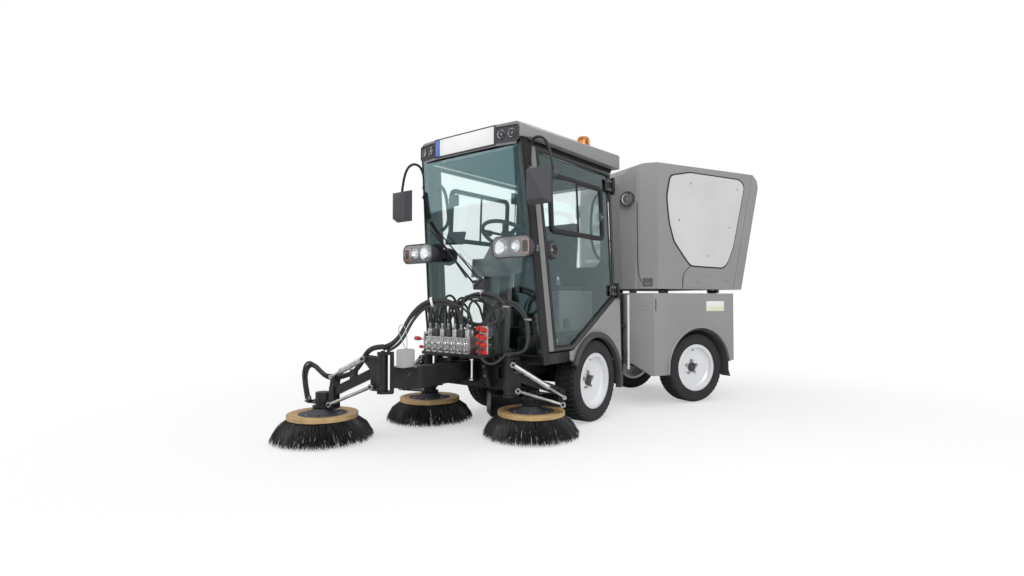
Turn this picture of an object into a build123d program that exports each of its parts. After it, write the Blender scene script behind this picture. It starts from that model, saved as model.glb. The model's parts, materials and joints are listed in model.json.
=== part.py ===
from build123d import *
from math import cos, radians, sin, tan
import os

# Compact articulated street sweeper, as it stands in the photograph: cab module in front, hopper
# module behind, steered to the left about the pivot between them.
# Vehicle frame while modelling: millimetres, X to the machine's left, Y to its rear, Z up,
# front axle above the origin. At the end everything is shifted so that the origin is on the
# floor under the middle of the machine's box.

# Wheels and steering
WHEELBASE = 1500.0
PIVOT_Y = 750.0
STEER_DEG = 25.5
WHEEL_X = 418.0
TYRE_R = 290.0
TYRE_W = 178.0
RIM_FLANGE_R = 196.0
RIM_BEAD_R = 179.0
RIM_W = 152.0
RIM_WALL = 7.0
HUB_BORE_R = 30.0
HUB_MOTOR_R = 75.0
STUD_CIRCLE_R = 56.0
STUD_COUNT = 5
STUD_R = 7.0

# Fits
SEAT_GAP = 0.3
PIN_GAP = 0.3
MOVE_GAP = 6.0

# Frames and axles
RAIL_X = 185.0
RAIL_W = 60.0
RAIL_H = 80.0
RAIL_Z = TYRE_R + 55.0
DUCT_LOW_Z = TYRE_R + 40.0
AXLE_H = 70.0
CAB_RAIL_Y = (-640.0, 600.0)
LUG_R = 55.0
LUG_T = 20.0
PIVOT_PIN_R = 22.0
PIVOT_BLOCK_H = 84.0

# Cab
SIDE_LEAN_DEG = 2.5
SIDE_X0 = 526.0
SCREEN_LEAN_DEG = 5.62
SCREEN_Y0 = -565.0
FLOOR_T = 15.0
SHEET_T = 20.0
ROOF_TOP_Z = 1975.0
CAB_TOP_Z = ROOF_TOP_Z - 113.0
CAB_SILL_Z = 470.0
CAB_REAR_Y = 345.0
PILLAR_W = 44.0
PILLAR_D = 60.0
ARCH_R = TYRE_R + 42.0
ARCH_SHELF_Z = TYRE_R + ARCH_R
FLARE_IN = 26.0
PANEL_T = 22.0
FLARE_OUT = 22.0
GLASS_T = 6.0

# Door outline on the side plane
DOOR_T = 26.0
DOOR_FRAME_W = 26.0
DOOR_STILE_W = 84.0
DOOR_TOP_Z = CAB_TOP_Z - 34.0
DOOR_BOTTOM_Z = ARCH_SHELF_Z - 90.0
DOOR_REAR_Y = 312.0
DOOR_SLANT_Y = -300.0
DOOR_SLANT_Z = ARCH_SHELF_Z + 255.0
HINGE_Y = 330.0
HINGE_OUT = 15.0
HINGE_R = 13.0
HINGE_PIN_R = 6.0
HINGE_Z = ((DOOR_TOP_Z - 178.0, DOOR_TOP_Z - 23.0), (DOOR_SLANT_Z - 15.0, DOOR_SLANT_Z + 125.0))
SLIDER_Y = (-500.0, 182.0)
SLIDER_Z = (1300.0, DOOR_TOP_Z - 136.0)
SLIDER_FRAME_W = 26.0

# Roof
ROOF_SIDE_X = 492.0
ROOF_REAR_Y = 385.0
ROOF_NOSE_Y = -826.0
ROOF_NOSE_X = 262.0
ROOF_CORNER = (440.0, -796.0)
ROOF_EDGE_Y = -700.0
ROOF_NOSE_Z = ROOF_TOP_Z - 20.0
ROOF_EDGE_Z = (ROOF_TOP_Z - 57.0, ROOF_TOP_Z - 9.0)
FASCIA_LOW_Z = ROOF_TOP_Z - 155.0
REAR_WINDOW_Z = (1110.0, CAB_TOP_Z - 112.0)
ROOF_SKIN = 30.0

# Hopper module, before it is turned by the steering
BODY_X = 545.0
BODY_SKIN = 22.0
BODY_TOP_Z = 918.0
BODY_LOW_Z = 252.0
BODY_REAR_Y = WHEELBASE + 380.0
BODY_CORNER_Y = 1005.0
BODY_CHAMFER = 145.0
HOPPER_LOW_Z = 952.0
HOPPER_TOP_Z = 1978.0
HOPPER_REAR_LOW_Y = BODY_REAR_Y + 97.0
HOPPER_REAR_TOP_Y = HOPPER_REAR_LOW_Y + 219.0
HOPPER_SHOULDER_Z = HOPPER_TOP_Z - 113.0
HOPPER_WALL = 28.0
HOPPER_DOOR_D = 95.0
TIP_Y = BODY_REAR_Y - 18.0
TIP_Z = 936.0
TIP_LUG_X = 330.0

# Brush arms
BRUSH_R = 310.0
BRUSH_TOP_R = 205.0
DISC_R = 213.0
DISC_T = 28.0
DISC_TOP_Z = 165.0
BRISTLE_LOW_Z = 4.0
HUB_GAP = 5.0
HEAD_PLATE_T = 10.0
MOTOR_R = 45.0
CHEEK_IN = 18.0
CHEEK_T = 8.0
ARM_W = 30.0
ARM_H = 66.0
LINK_DROP = 76.0
LINK_R = 10.0
LINK_SIDE = 42.0
EYE_R = 17.0
EYE_W = 20.0
ARM_PIN_R = 9.0
SWING_HUB_R = 30.0
SWING_PIN_R = 12.0
FORK_T = 15.0

# name, root x, root y, bearing in degrees, handed side, arm length, drop, pin height,
# brush centre along the arm, brush centre to the side, cylinder root ahead of the hub, its height,
# cylinder's far eye ahead of the arm's end pin, and above it
ARMS = (
    ("left", 355.0, -805.0, 46.8, 1, 278.0, 90.0, 385.0, 161.0, 107.0, 22.0, 82.0, 10.0, -32.0),
    ("right", -355.0, -805.0, 167.3, -1, 278.0, 90.0, 385.0, 161.0, 107.0, 22.0, 82.0, 10.0, -32.0),
    ("third", -110.0, -1392.0, 191.6, -1, 323.0, 128.0, 432.0, 469.0, 0.0, 112.0, 84.0, -15.0, 93.0),
)
ARM_PIN_X = 52.0

# Boom that carries the third brush
BOOM_ROOT = (0.0, -760.0)
BOOM_CORNER = (32.0, -1252.0)
BOOM_W = 92.0
BOOM_Z = (352.0, 470.0)
BOOM_HUB_R = 46.0
BOOM_PIN_R = 15.0
FRAME_PLATE_Y = (-732.0, -696.0)

LEAN = tan(radians(SIDE_LEAN_DEG))
SCREEN_LEAN = tan(radians(SCREEN_LEAN_DEG))
SIDE_DIR = Vector(-LEAN, 0, 1).normalized()


def side_x(z):
    """Half width of the cab's outer side at a height."""
    return SIDE_X0 - LEAN * z


def pillar_y(z):
    """Middle of the front pillar at a height."""
    return SCREEN_Y0 - SCREEN_LEAN * z


def side_plane(inset=0.0, side=1):
    """A side plane of the cab; on the left its local x runs to the rear and local y up the side."""
    normal = Vector(side * cos(radians(SIDE_LEAN_DEG)), 0, sin(radians(SIDE_LEAN_DEG)))
    return Plane(origin=Vector(side * SIDE_X0, 0, 0) - normal * inset, x_dir=(0, 1, 0), z_dir=normal)


def block(x, y, z, mode=Mode.ADD):
    """A block between two limits along each axis."""
    middle = ((x[0] + x[1]) / 2, (y[0] + y[1]) / 2, (z[0] + z[1]) / 2)
    with Locations(middle):
        Box(x[1] - x[0], y[1] - y[0], z[1] - z[0], mode=mode)


def rod(start, end, radius, mode=Mode.ADD):
    """A round bar from one point to another."""
    run = Vector(*end) - Vector(*start)
    middle = Vector(*start) + run * 0.5
    with Locations(Plane(origin=middle, z_dir=run).location):
        Cylinder(radius, run.length, mode=mode)


def slab(plane, points, thickness, mode=Mode.ADD):
    """A flat piece: an outline on a plane, raised along its normal."""
    with BuildSketch(plane) as outline:
        Polygon(*points, align=None)
    extrude(outline.sketch, amount=thickness, mode=mode)


def ring_profile(points):
    """A ring turned about the X axis from points given as x, radius."""
    with BuildSketch(Plane.XY) as section:
        Polygon(*points, align=None)
    revolve(section.sketch, axis=Axis.X)


def pipe(points, radius, bends, mode=Mode.ADD):
    """A round pipe or hose through points, with one bend radius for each corner."""
    with BuildLine() as route:
        FilletPolyline(*points, radius=bends)
    path = route.line
    with BuildSketch(Plane(origin=path @ 0, z_dir=path % 0)) as section:
        Circle(radius)
    sweep(section.sketch, path=path, mode=mode)


def bend_radii(points, share=0.45):
    """The widest bend that the two runs beside each corner allow."""
    runs = [Vector(*b) - Vector(*a) for a, b in zip(points, points[1:])]
    radii = []
    for before, after in zip(runs, runs[1:]):
        turn = radians(before.get_angle(after))
        radii.append(share * min(before.length, after.length) / tan(turn / 2))
    return radii


def hose(points, radius):
    """A hose through hand-chosen points."""
    pipe(points, radius, bend_radii(points))


# Wheels

with BuildPart() as tyre:
    half = TYRE_W / 2
    bead = RIM_W / 2 - RIM_WALL - 1 - SEAT_GAP
    ring_profile((
        (-bead, RIM_BEAD_R + SEAT_GAP),
        (-bead, RIM_FLANGE_R + 2),
        (-half, TYRE_R - 66),
        (-half + 6, TYRE_R - 22),
        (-half + 24, TYRE_R),
        (half - 24, TYRE_R),
        (half - 6, TYRE_R - 22),
        (half, TYRE_R - 66),
        (bead, RIM_FLANGE_R + 2),
        (bead, RIM_BEAD_R + SEAT_GAP),
    ))

with BuildPart() as rim:
    half = RIM_W / 2
    inner = RIM_BEAD_R - RIM_WALL
    ring_profile((
        (-half, RIM_FLANGE_R), (-half + RIM_WALL, RIM_FLANGE_R),
        (-half + RIM_WALL + 1, RIM_BEAD_R), (-38, RIM_BEAD_R - 2), (-28, RIM_BEAD_R - 16),
        (28, RIM_BEAD_R - 16), (38, RIM_BEAD_R - 2), (half - RIM_WALL - 1, RIM_BEAD_R),
        (half - RIM_WALL, RIM_FLANGE_R), (half, RIM_FLANGE_R),
        (half, inner), (42, inner - 2), (31, inner - 16), (-31, inner - 16), (-42, inner - 2),
        (-half, inner),
    ))
    ring_profile((
        (8, HUB_BORE_R), (16, HUB_BORE_R), (16, 88), (30, 126), (30, inner - 15),
        (22, inner - 15), (22, 130), (8, 92),
    ))
    with Locations(Plane.YZ.offset(16).location):
        with PolarLocations(STUD_CIRCLE_R, STUD_COUNT):
            Cylinder(STUD_R, 12, align=(Align.CENTER, Align.CENTER, Align.MIN))


def make_axle():
    """Hub motors on a cross beam, with the stub that each wheel turns on."""
    with BuildPart() as axle:
        beam_end = WHEEL_X - 180
        block((-beam_end, beam_end), (-AXLE_H / 2, AXLE_H / 2), (TYRE_R - AXLE_H / 2, TYRE_R + AXLE_H / 2))
        for side in (-1, 1):
            block(
                (side * RAIL_X - RAIL_W / 2, side * RAIL_X + RAIL_W / 2),
                (-60, 60),
                (TYRE_R, RAIL_Z - SEAT_GAP),
            )
            rod((side * beam_end, 0, TYRE_R), (side * (WHEEL_X - 8), 0, TYRE_R), HUB_MOTOR_R)
            rod((side * beam_end, 0, TYRE_R), (side * (WHEEL_X + 8 - SEAT_GAP), 0, TYRE_R), 62)
            rod((side * beam_end, 0, TYRE_R), (side * (WHEEL_X + 30), 0, TYRE_R), HUB_BORE_R - PIN_GAP)
    return axle.part


# Cab module: chassis, suction mouth and the carrier in front

with BuildPart() as front_chassis:
    rail_top = RAIL_Z + RAIL_H
    for side in (-1, 1):
        block((side * RAIL_X - RAIL_W / 2, side * RAIL_X + RAIL_W / 2), CAB_RAIL_Y, (RAIL_Z, rail_top))
    rail_out = RAIL_X + RAIL_W / 2
    block((-RAIL_X, RAIL_X), (-640, -580), (RAIL_Z + 10, rail_top - 10))
    block((-rail_out, rail_out), (345, 405), (262, DUCT_LOW_Z - SEAT_GAP))
    for side in (-1, 1):
        block(sorted((side * (rail_out - RAIL_W), side * rail_out)), (345, 405), (262, RAIL_Z + 1))
    for level in (-1, 1):
        low = TYRE_R + level * (PIVOT_BLOCK_H + LUG_T) / 2 + level * SEAT_GAP - LUG_T / 2
        with BuildSketch(Plane.XY.offset(low)):
            Polygon((-150, 545), (150, 545), (LUG_R, PIVOT_Y), (-LUG_R, PIVOT_Y), align=None)
            with Locations((0, PIVOT_Y)):
                Circle(LUG_R)
                Circle(PIVOT_PIN_R + PIN_GAP, mode=Mode.SUBTRACT)
        extrude(amount=LUG_T)
    lug_low = TYRE_R - PIVOT_BLOCK_H / 2 - SEAT_GAP - LUG_T
    lug_high = TYRE_R + PIVOT_BLOCK_H / 2 + SEAT_GAP + LUG_T
    block((-rail_out, rail_out), (540, 580), (lug_low, lug_high))

MOUTH_FRONT_Y = -420.0
MOUTH_REAR_Y = -120.0
MOUTH_LOW_Z = 24.0
MOUTH_TOP_Z = 190.0
MOUTH_X = 262.0
DUCT_X = 118.0
DUCT_WALL = 6.0
mouth_outline = (
    (-DUCT_X, MOUTH_FRONT_Y), (DUCT_X, MOUTH_FRONT_Y), (MOUTH_X, -300), (MOUTH_X, MOUTH_REAR_Y),
    (-MOUTH_X, MOUTH_REAR_Y), (-MOUTH_X, -300),
)
with BuildPart() as suction_mouth:
    slab(Plane.XY.offset(MOUTH_LOW_Z), mouth_outline, MOUTH_TOP_Z - MOUTH_LOW_Z)
    with BuildSketch(Plane.XY.offset(MOUTH_LOW_Z)):
        Polygon(*mouth_outline, align=None)
        offset(amount=-12, mode=Mode.REPLACE)
    extrude(amount=MOUTH_TOP_Z - MOUTH_LOW_Z - 10, mode=Mode.SUBTRACT)
    block(
        (-DUCT_X + DUCT_WALL, DUCT_X - DUCT_WALL),
        (-262 + DUCT_WALL, -150 - DUCT_WALL),
        (MOUTH_TOP_Z - 20, MOUTH_TOP_Z + 1),
        Mode.SUBTRACT,
    )

DUCT_LOW = MOUTH_TOP_Z + SEAT_GAP
DUCT_TOP_LINE = ((-262, DUCT_LOW), (-262, 240), (-150, 418), (480, 418), (560, 520), (650, 520))
DUCT_TOP_INSIDE = ((650, 514), (562, 514), (483, 412), (-147, 412), (-256, 238), (-256, DUCT_LOW))
DUCT_LOW_LINE = (
    (650, 440), (598, 436), (510, DUCT_LOW_Z), (-90, DUCT_LOW_Z), (-150, 238), (-150, DUCT_LOW),
)
DUCT_LOW_INSIDE = (
    (-156, DUCT_LOW), (-156, 240), (-94, DUCT_LOW_Z + DUCT_WALL), (507, DUCT_LOW_Z + DUCT_WALL), (596, 442),
    (650, 446),
)
with BuildPart() as suction_duct:
    for outside, inside in ((DUCT_TOP_LINE, DUCT_TOP_INSIDE), (DUCT_LOW_LINE, DUCT_LOW_INSIDE)):
        slab(Plane.YZ.offset(-DUCT_X + DUCT_WALL), (*outside, *inside), 2 * (DUCT_X - DUCT_WALL))

with BuildPart() as suction_duct_sides:
    slab(Plane.YZ.offset(DUCT_X - DUCT_WALL), (*DUCT_TOP_LINE, *DUCT_LOW_LINE), DUCT_WALL)
    mirror(about=Plane.YZ)

FORK_Z = (265.0, 510.0)
with BuildPart() as lift_frame:
    block((-370, 370), FRAME_PLATE_Y, (290, 460))
    rod((*BOOM_ROOT, BOOM_Z[0] - 20), (*BOOM_ROOT, BOOM_Z[1]), BOOM_HUB_R + MOVE_GAP, Mode.SUBTRACT)
    for side in (-1, 1):
        block(
            (side * RAIL_X - RAIL_W / 2, side * RAIL_X + RAIL_W / 2),
            (FRAME_PLATE_Y[1], CAB_RAIL_Y[0] - SEAT_GAP),
            (RAIL_Z, RAIL_Z + RAIL_H),
        )
        root = (side * ARMS[0][1], ARMS[0][2])
        back_x = sorted((side * (ARMS[0][1] - 34), side * (ARMS[0][1] + 8)))
        block(back_x, (FRAME_PLATE_Y[0] - 12, FRAME_PLATE_Y[1]), FORK_Z)
        for low in (FORK_Z[0], FORK_Z[1] - FORK_T):
            block((root[0] - 34, root[0] + 34), (root[1], -740), (low, low + FORK_T))
            rod((*root, low), (*root, low + FORK_T), 34)
        rod((*root, FORK_Z[0]), (*root, FORK_Z[1] + 6), SWING_PIN_R)
    for low in (BOOM_Z[0] - FORK_T - PIN_GAP * 2, BOOM_Z[1] + PIN_GAP * 2):
        block((-50, 50), (BOOM_ROOT[1], FRAME_PLATE_Y[1]), (low, low + FORK_T))
        rod((*BOOM_ROOT, low), (*BOOM_ROOT, low + FORK_T), 50)
    rod((*BOOM_ROOT, BOOM_Z[0] - 30), (*BOOM_ROOT, BOOM_Z[1] + 30), BOOM_PIN_R)
    for x in (-255.0, 255.0):
        with Locations((x, FRAME_PLATE_Y[0] + 14, 400)):
            Box(90, 40, 70, mode=Mode.SUBTRACT)

VALVE_X = (-165.0, -110.0, -55.0, 0.0, 55.0, 110.0, 165.0)
TRAY_Z = 512.0
with BuildPart() as manifold:
    block((-210, 300), (-1000, -800), (TRAY_Z, TRAY_Z + 8))
    for x in (-150, 150):
        block((x - 20, x + 20), (-810, FRAME_PLATE_Y[0] - SEAT_GAP), (300, TRAY_Z + 8))
    block((-200, 200), (-985, -905), (TRAY_Z + 8, 632))
    for x in VALVE_X:
        rod((x, -962, 630), (x, -962, 712), 17)
        rod((x, -925, 630), (x, -925, 680), 12)
        rod((x, -985, 575), (x, -1012, 575), 13)
    block((236, 292), (-930, -850), (TRAY_Z + 8, 700))
    for z in (560.0, 610.0, 660.0):
        rod((264, -930, z), (264, -968, z), 16)
    rod((-200, -945, 600), (-330, -945, 606), 9)
    rod((-290, -945, 604), (-335, -945, 606), 15)

# Cab module: floor, pillars and roof

with BuildPart() as cab_frame:
    floor_z = RAIL_Z + RAIL_H + SEAT_GAP
    floor_front = -630.0
    block((-300, 300), (floor_front, CAB_REAR_Y), (floor_z, floor_z + FLOOR_T))
    block((-490, 490), (floor_front, -345), (CAB_SILL_Z - FLOOR_T, CAB_SILL_Z))
    for side in (-1, 1):
        low_x = sorted((side * 286, side * 300))
        block(low_x, (floor_front, CAB_REAR_Y), (floor_z, ARCH_SHELF_Z))
        shelf_x = sorted((side * 286, side * (side_x(ARCH_SHELF_Z) - DOOR_T - MOVE_GAP)))
        block(shelf_x, (-345, CAB_REAR_Y), (ARCH_SHELF_Z, ARCH_SHELF_Z + FLOOR_T))
        block(shelf_x, (-345, -330), (CAB_SILL_Z - FLOOR_T, ARCH_SHELF_Z + FLOOR_T))
        panel_inside = side_x(ARCH_SHELF_Z + FLOOR_T) - PANEL_T / cos(radians(SIDE_LEAN_DEG)) - SEAT_GAP
        panel_x = sorted((side * 400, side * panel_inside))
        block(panel_x, (-60, CAB_REAR_Y), (ARCH_SHELF_Z, ARCH_SHELF_Z + FLOOR_T))
        for low, foot_y in ((CAB_SILL_Z - FLOOR_T, None), (CAB_SILL_Z, CAB_REAR_Y - PILLAR_D / 2)):
            lean = Vector(-side * LEAN, -SCREEN_LEAN if foot_y is None else 0, 1)
            y = pillar_y(low) if foot_y is None else foot_y
            x = side * (side_x(low) - PILLAR_W / 2 - (0 if foot_y is None else DOOR_T + MOVE_GAP))
            with BuildSketch(Plane.XY.offset(low)):
                with Locations((x, y)):
                    Rectangle(PILLAR_W, PILLAR_D)
            extrude(amount=(CAB_TOP_Z - low) * lean.length, dir=lean)
        top_x = side_x(CAB_TOP_Z)
        rail_x = sorted((side * (top_x - 60), side * (top_x - 6)))
        block(rail_x, (pillar_y(CAB_TOP_Z) - 20, CAB_REAR_Y), (DOOR_TOP_Z + MOVE_GAP, CAB_TOP_Z))
        sill_x = sorted((side * (side_x(CAB_SILL_Z) - 40), side * (side_x(CAB_SILL_Z) - 4)))
        block(sill_x, (floor_front + 10, -345), (CAB_SILL_Z - FLOOR_T, CAB_SILL_Z + 52))
    top_x = side_x(CAB_TOP_Z) - 8
    front_y = pillar_y(CAB_TOP_Z)
    block((-top_x, top_x), (front_y - 28, front_y + 30), (CAB_TOP_Z - 40, CAB_TOP_Z))
    front_low = pillar_y(CAB_SILL_Z)
    block((-480, 480), (front_low - 28, front_low + 12), (CAB_SILL_Z - FLOOR_T, CAB_SILL_Z + 34))
    rear_low = side_x(CAB_SILL_Z) - DOOR_T - 6
    rear_top = side_x(CAB_TOP_Z) - DOOR_T - 6
    wall = Plane.XZ.offset(-CAB_REAR_Y)
    slab(wall, ((-rear_low, floor_z), (rear_low, floor_z), (rear_top, CAB_TOP_Z), (-rear_top, CAB_TOP_Z)), SHEET_T)
    with BuildSketch(wall):
        with Locations((0, (REAR_WINDOW_Z[0] + REAR_WINDOW_Z[1]) / 2)):
            RectangleRounded(700, REAR_WINDOW_Z[1] - REAR_WINDOW_Z[0], 60)
    extrude(amount=SHEET_T, mode=Mode.SUBTRACT)
    for side in (-1, 1):
        for low, high in HINGE_Z:
            for z in (low + 24, high - 24):
                x = side * (side_x(z) + HINGE_OUT)
                wall_x = side * (side_x(z) - DOOR_T - 20)
                block(sorted((x, wall_x)), (HINGE_Y + 4, HINGE_Y + 26), (z - 9, z + 9))
                axis = Vector(-side * LEAN, 0, 1).normalized() * 9
                centre = Vector(x, HINGE_Y, z)
                rod(centre - axis, centre + axis, HINGE_R)
            foot = Vector(side * (side_x(low + 15) + HINGE_OUT), HINGE_Y, low + 15)
            head = Vector(side * (side_x(high - 15) + HINGE_OUT), HINGE_Y, high - 15)
            rod(foot, head, HINGE_PIN_R)

SCREEN_BOW = 16.0
SCREEN_Z = (CAB_SILL_Z + 36.0, CAB_TOP_Z - 6.0)
with BuildPart() as cab_glass:
    low_y = pillar_y(SCREEN_Z[0]) - PILLAR_D / 2 - GLASS_T - SEAT_GAP
    edge_x = side_x(SCREEN_Z[0]) + 10
    lean = Vector(0, -SCREEN_LEAN, 1)
    with BuildSketch(Plane.XY.offset(SCREEN_Z[0])):
        with BuildLine():
            ThreePointArc((-edge_x, low_y), (0, low_y - SCREEN_BOW), (edge_x, low_y))
            Line((edge_x, low_y), (edge_x, low_y + GLASS_T))
            ThreePointArc((edge_x, low_y + GLASS_T), (0, low_y + GLASS_T - SCREEN_BOW), (-edge_x, low_y + GLASS_T))
            Line((-edge_x, low_y + GLASS_T), (-edge_x, low_y))
        make_face()
    extrude(amount=(SCREEN_Z[1] - SCREEN_Z[0]) * lean.length, dir=lean)
    split(bisect_by=side_plane(3), keep=Keep.BOTTOM)
    split(bisect_by=side_plane(3, -1), keep=Keep.BOTTOM)
    with BuildSketch(Plane.XZ.offset(-CAB_REAR_Y + SHEET_T / 2 - GLASS_T / 2)):
        with Locations((0, (REAR_WINDOW_Z[0] + REAR_WINDOW_Z[1]) / 2)):
            RectangleRounded(700 - 2 * SEAT_GAP, REAR_WINDOW_Z[1] - REAR_WINDOW_Z[0] - 2 * SEAT_GAP, 60)
    extrude(amount=GLASS_T)
with BuildPart() as roof:
    plan = (
        (-ROOF_NOSE_X, ROOF_NOSE_Y), (ROOF_NOSE_X, ROOF_NOSE_Y), ROOF_CORNER, (ROOF_SIDE_X, ROOF_EDGE_Y),
        (ROOF_SIDE_X, ROOF_REAR_Y), (-ROOF_SIDE_X, ROOF_REAR_Y), (-ROOF_SIDE_X, ROOF_EDGE_Y),
        (-ROOF_CORNER[0], ROOF_CORNER[1]),
    )
    seat_z = CAB_TOP_Z + SEAT_GAP
    slab(Plane.XY.offset(FASCIA_LOW_Z), plan, ROOF_TOP_Z - FASCIA_LOW_Z)
    block((-600, 600), (-700, 600), (FASCIA_LOW_Z - 1, seat_z), Mode.SUBTRACT)
    for side in (-1, 1):
        block(sorted((side * 412, side * 600)), (-900, 600), (FASCIA_LOW_Z - 1, seat_z), Mode.SUBTRACT)
    with BuildSketch(Plane.XY.offset(FASCIA_LOW_Z - 1)):
        Polygon(*plan, align=None)
        offset(amount=-10, mode=Mode.REPLACE)
    extrude(amount=seat_z - FASCIA_LOW_Z + 1, mode=Mode.SUBTRACT)
    block((-420, 420), (-690, 320), (seat_z - 1, ROOF_EDGE_Z[0] - ROOF_SKIN), Mode.SUBTRACT)
    for side in (-1, 1):
        across = Vector(-side * 92, -40, ROOF_TOP_Z - 3 - ROOF_EDGE_Z[0])
        along = Vector(0, ROOF_REAR_Y - ROOF_EDGE_Y, ROOF_EDGE_Z[1] - ROOF_EDGE_Z[0])
        normal = along.cross(across) * side
        split(bisect_by=Plane((side * ROOF_SIDE_X, ROOF_EDGE_Y, ROOF_EDGE_Z[0]), z_dir=normal), keep=Keep.BOTTOM)
    nose_run = Vector(0, 130, ROOF_TOP_Z - ROOF_NOSE_Z)
    split(bisect_by=Plane((0, ROOF_NOSE_Y, ROOF_NOSE_Z), z_dir=Vector(1, 0, 0).cross(nose_run)), keep=Keep.BOTTOM)

HEADLAMP = (415.0, -808.0, 1180.0)
HEADLAMP_SIZE = (300.0, 100.0, 138.0)
with BuildPart() as lamps:
    facet = Vector(ROOF_CORNER[0] - ROOF_NOSE_X, ROOF_CORNER[1] - ROOF_NOSE_Y, 0)
    for side in (-1, 1):
        middle = Vector(side * (ROOF_NOSE_X + ROOF_CORNER[0]) / 2, (ROOF_NOSE_Y + ROOF_CORNER[1]) / 2, FASCIA_LOW_Z + 68)
        out = Vector(side * facet.Y, -facet.X, 0).normalized()
        face = Plane(origin=middle + out * SEAT_GAP, x_dir=(side * facet.X, facet.Y, 0), z_dir=out)
        with BuildSketch(face):
            RectangleRounded(164, 96, 14)
        extrude(amount=10)
        with BuildSketch(face.offset(10)):
            with GridLocations(74, 0, 2, 1):
                Circle(28)
        extrude(amount=8)
        centre = (side * HEADLAMP[0], HEADLAMP[1], HEADLAMP[2])
        with BuildSketch(Plane.XZ.offset(-HEADLAMP[1] - HEADLAMP_SIZE[1] / 2)):
            with Locations((centre[0], centre[2])):
                RectangleRounded(HEADLAMP_SIZE[0], HEADLAMP_SIZE[2], 34)
        extrude(amount=HEADLAMP_SIZE[1], taper=6)
        bracket_x = sorted((side * (side_x(HEADLAMP[2]) + SEAT_GAP + 1), side * (side_x(HEADLAMP[2]) + 18)))
        block(bracket_x, (HEADLAMP[1] + 30, pillar_y(HEADLAMP[2])), (HEADLAMP[2] - 18, HEADLAMP[2] + 18))

BEACON = (360.0, 70.0)
with BuildPart() as beacon:
    base_z = ROOF_TOP_Z + SEAT_GAP
    rod((0, 0, base_z), (0, 0, base_z + 22), 58)
    rod((0, 0, base_z + 20), (0, 0, base_z + 95), 48)
    fillet(beacon.edges().sort_by(Axis.Z)[-1], 24)
beacon_part = beacon.part.moved(Location((BEACON[0], BEACON[1], 0)))

# Side panels over the front wheels, with their flares
with BuildPart() as side_panels:
    slab(side_plane(PANEL_T), (
        (-336, 468), (-336, DOOR_BOTTOM_Z - 9), (DOOR_SLANT_Y, DOOR_BOTTOM_Z - 9),
        (DOOR_REAR_Y, DOOR_SLANT_Z - 9), (388, DOOR_SLANT_Z - 9), (368, 290), (350, 205), (0, TYRE_R),
    ), PANEL_T)
    rod((300, 0, TYRE_R), (700, 0, TYRE_R), ARCH_R, Mode.SUBTRACT)
    mirror(about=Plane.YZ)

with BuildPart() as front_flares:
    for radius, inset, reach in ((ARCH_R - SEAT_GAP, PANEL_T, PANEL_T + FLARE_OUT), (ARCH_R + 12, -SEAT_GAP, FLARE_OUT)):
        with BuildSketch(side_plane(inset)):
            with Locations((0, TYRE_R)):
                Circle(radius)
                Circle(ARCH_R - FLARE_IN, mode=Mode.SUBTRACT)
            Polygon((0, 0), (0, 210), (400, 210), (400, -200), (0, -200), align=None, mode=Mode.SUBTRACT)
            Polygon((1, -200), (1, TYRE_R), (-400, 470), (-400, -200), align=None, mode=Mode.SUBTRACT)
        extrude(amount=reach)
    mirror(about=Plane.YZ)

# Doors
DOOR_FRONT_GAP = PILLAR_D / 2 + MOVE_GAP
HANDLE = (-495.0, 1183.0)


def door_outline():
    """The door's outline on the side plane, from the lower front corner round."""
    low_front = pillar_y(DOOR_BOTTOM_Z) + DOOR_FRONT_GAP
    top_front = pillar_y(DOOR_TOP_Z) + DOOR_FRONT_GAP
    return (
        (low_front, DOOR_BOTTOM_Z), (DOOR_SLANT_Y, DOOR_BOTTOM_Z), (DOOR_REAR_Y, DOOR_SLANT_Z),
        (DOOR_REAR_Y, DOOR_TOP_Z), (top_front, DOOR_TOP_Z),
    )


def door_opening(gap):
    """Draws the glazed opening of the door, smaller by a gap all round."""
    low, top = pillar_y(0) + DOOR_FRONT_GAP, pillar_y(2000) + DOOR_FRONT_GAP
    edge = DOOR_STILE_W + gap
    Polygon(*door_outline(), align=None)
    offset(amount=-DOOR_FRAME_W - gap, kind=Kind.INTERSECTION, mode=Mode.REPLACE)
    Polygon((-2000, 0), (low + edge, 0), (top + edge, 2000), (-2000, 2000), align=None, mode=Mode.SUBTRACT)


def slider_window(inset, mode=Mode.ADD):
    """Draws the sliding window's outline, smaller by an inset all round."""
    with Locations(((SLIDER_Y[0] + SLIDER_Y[1]) / 2, (SLIDER_Z[0] + SLIDER_Z[1]) / 2)):
        RectangleRounded(
            SLIDER_Y[1] - SLIDER_Y[0] - 2 * inset, SLIDER_Z[1] - SLIDER_Z[0] - 2 * inset, 50 - inset, mode=mode
        )


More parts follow.
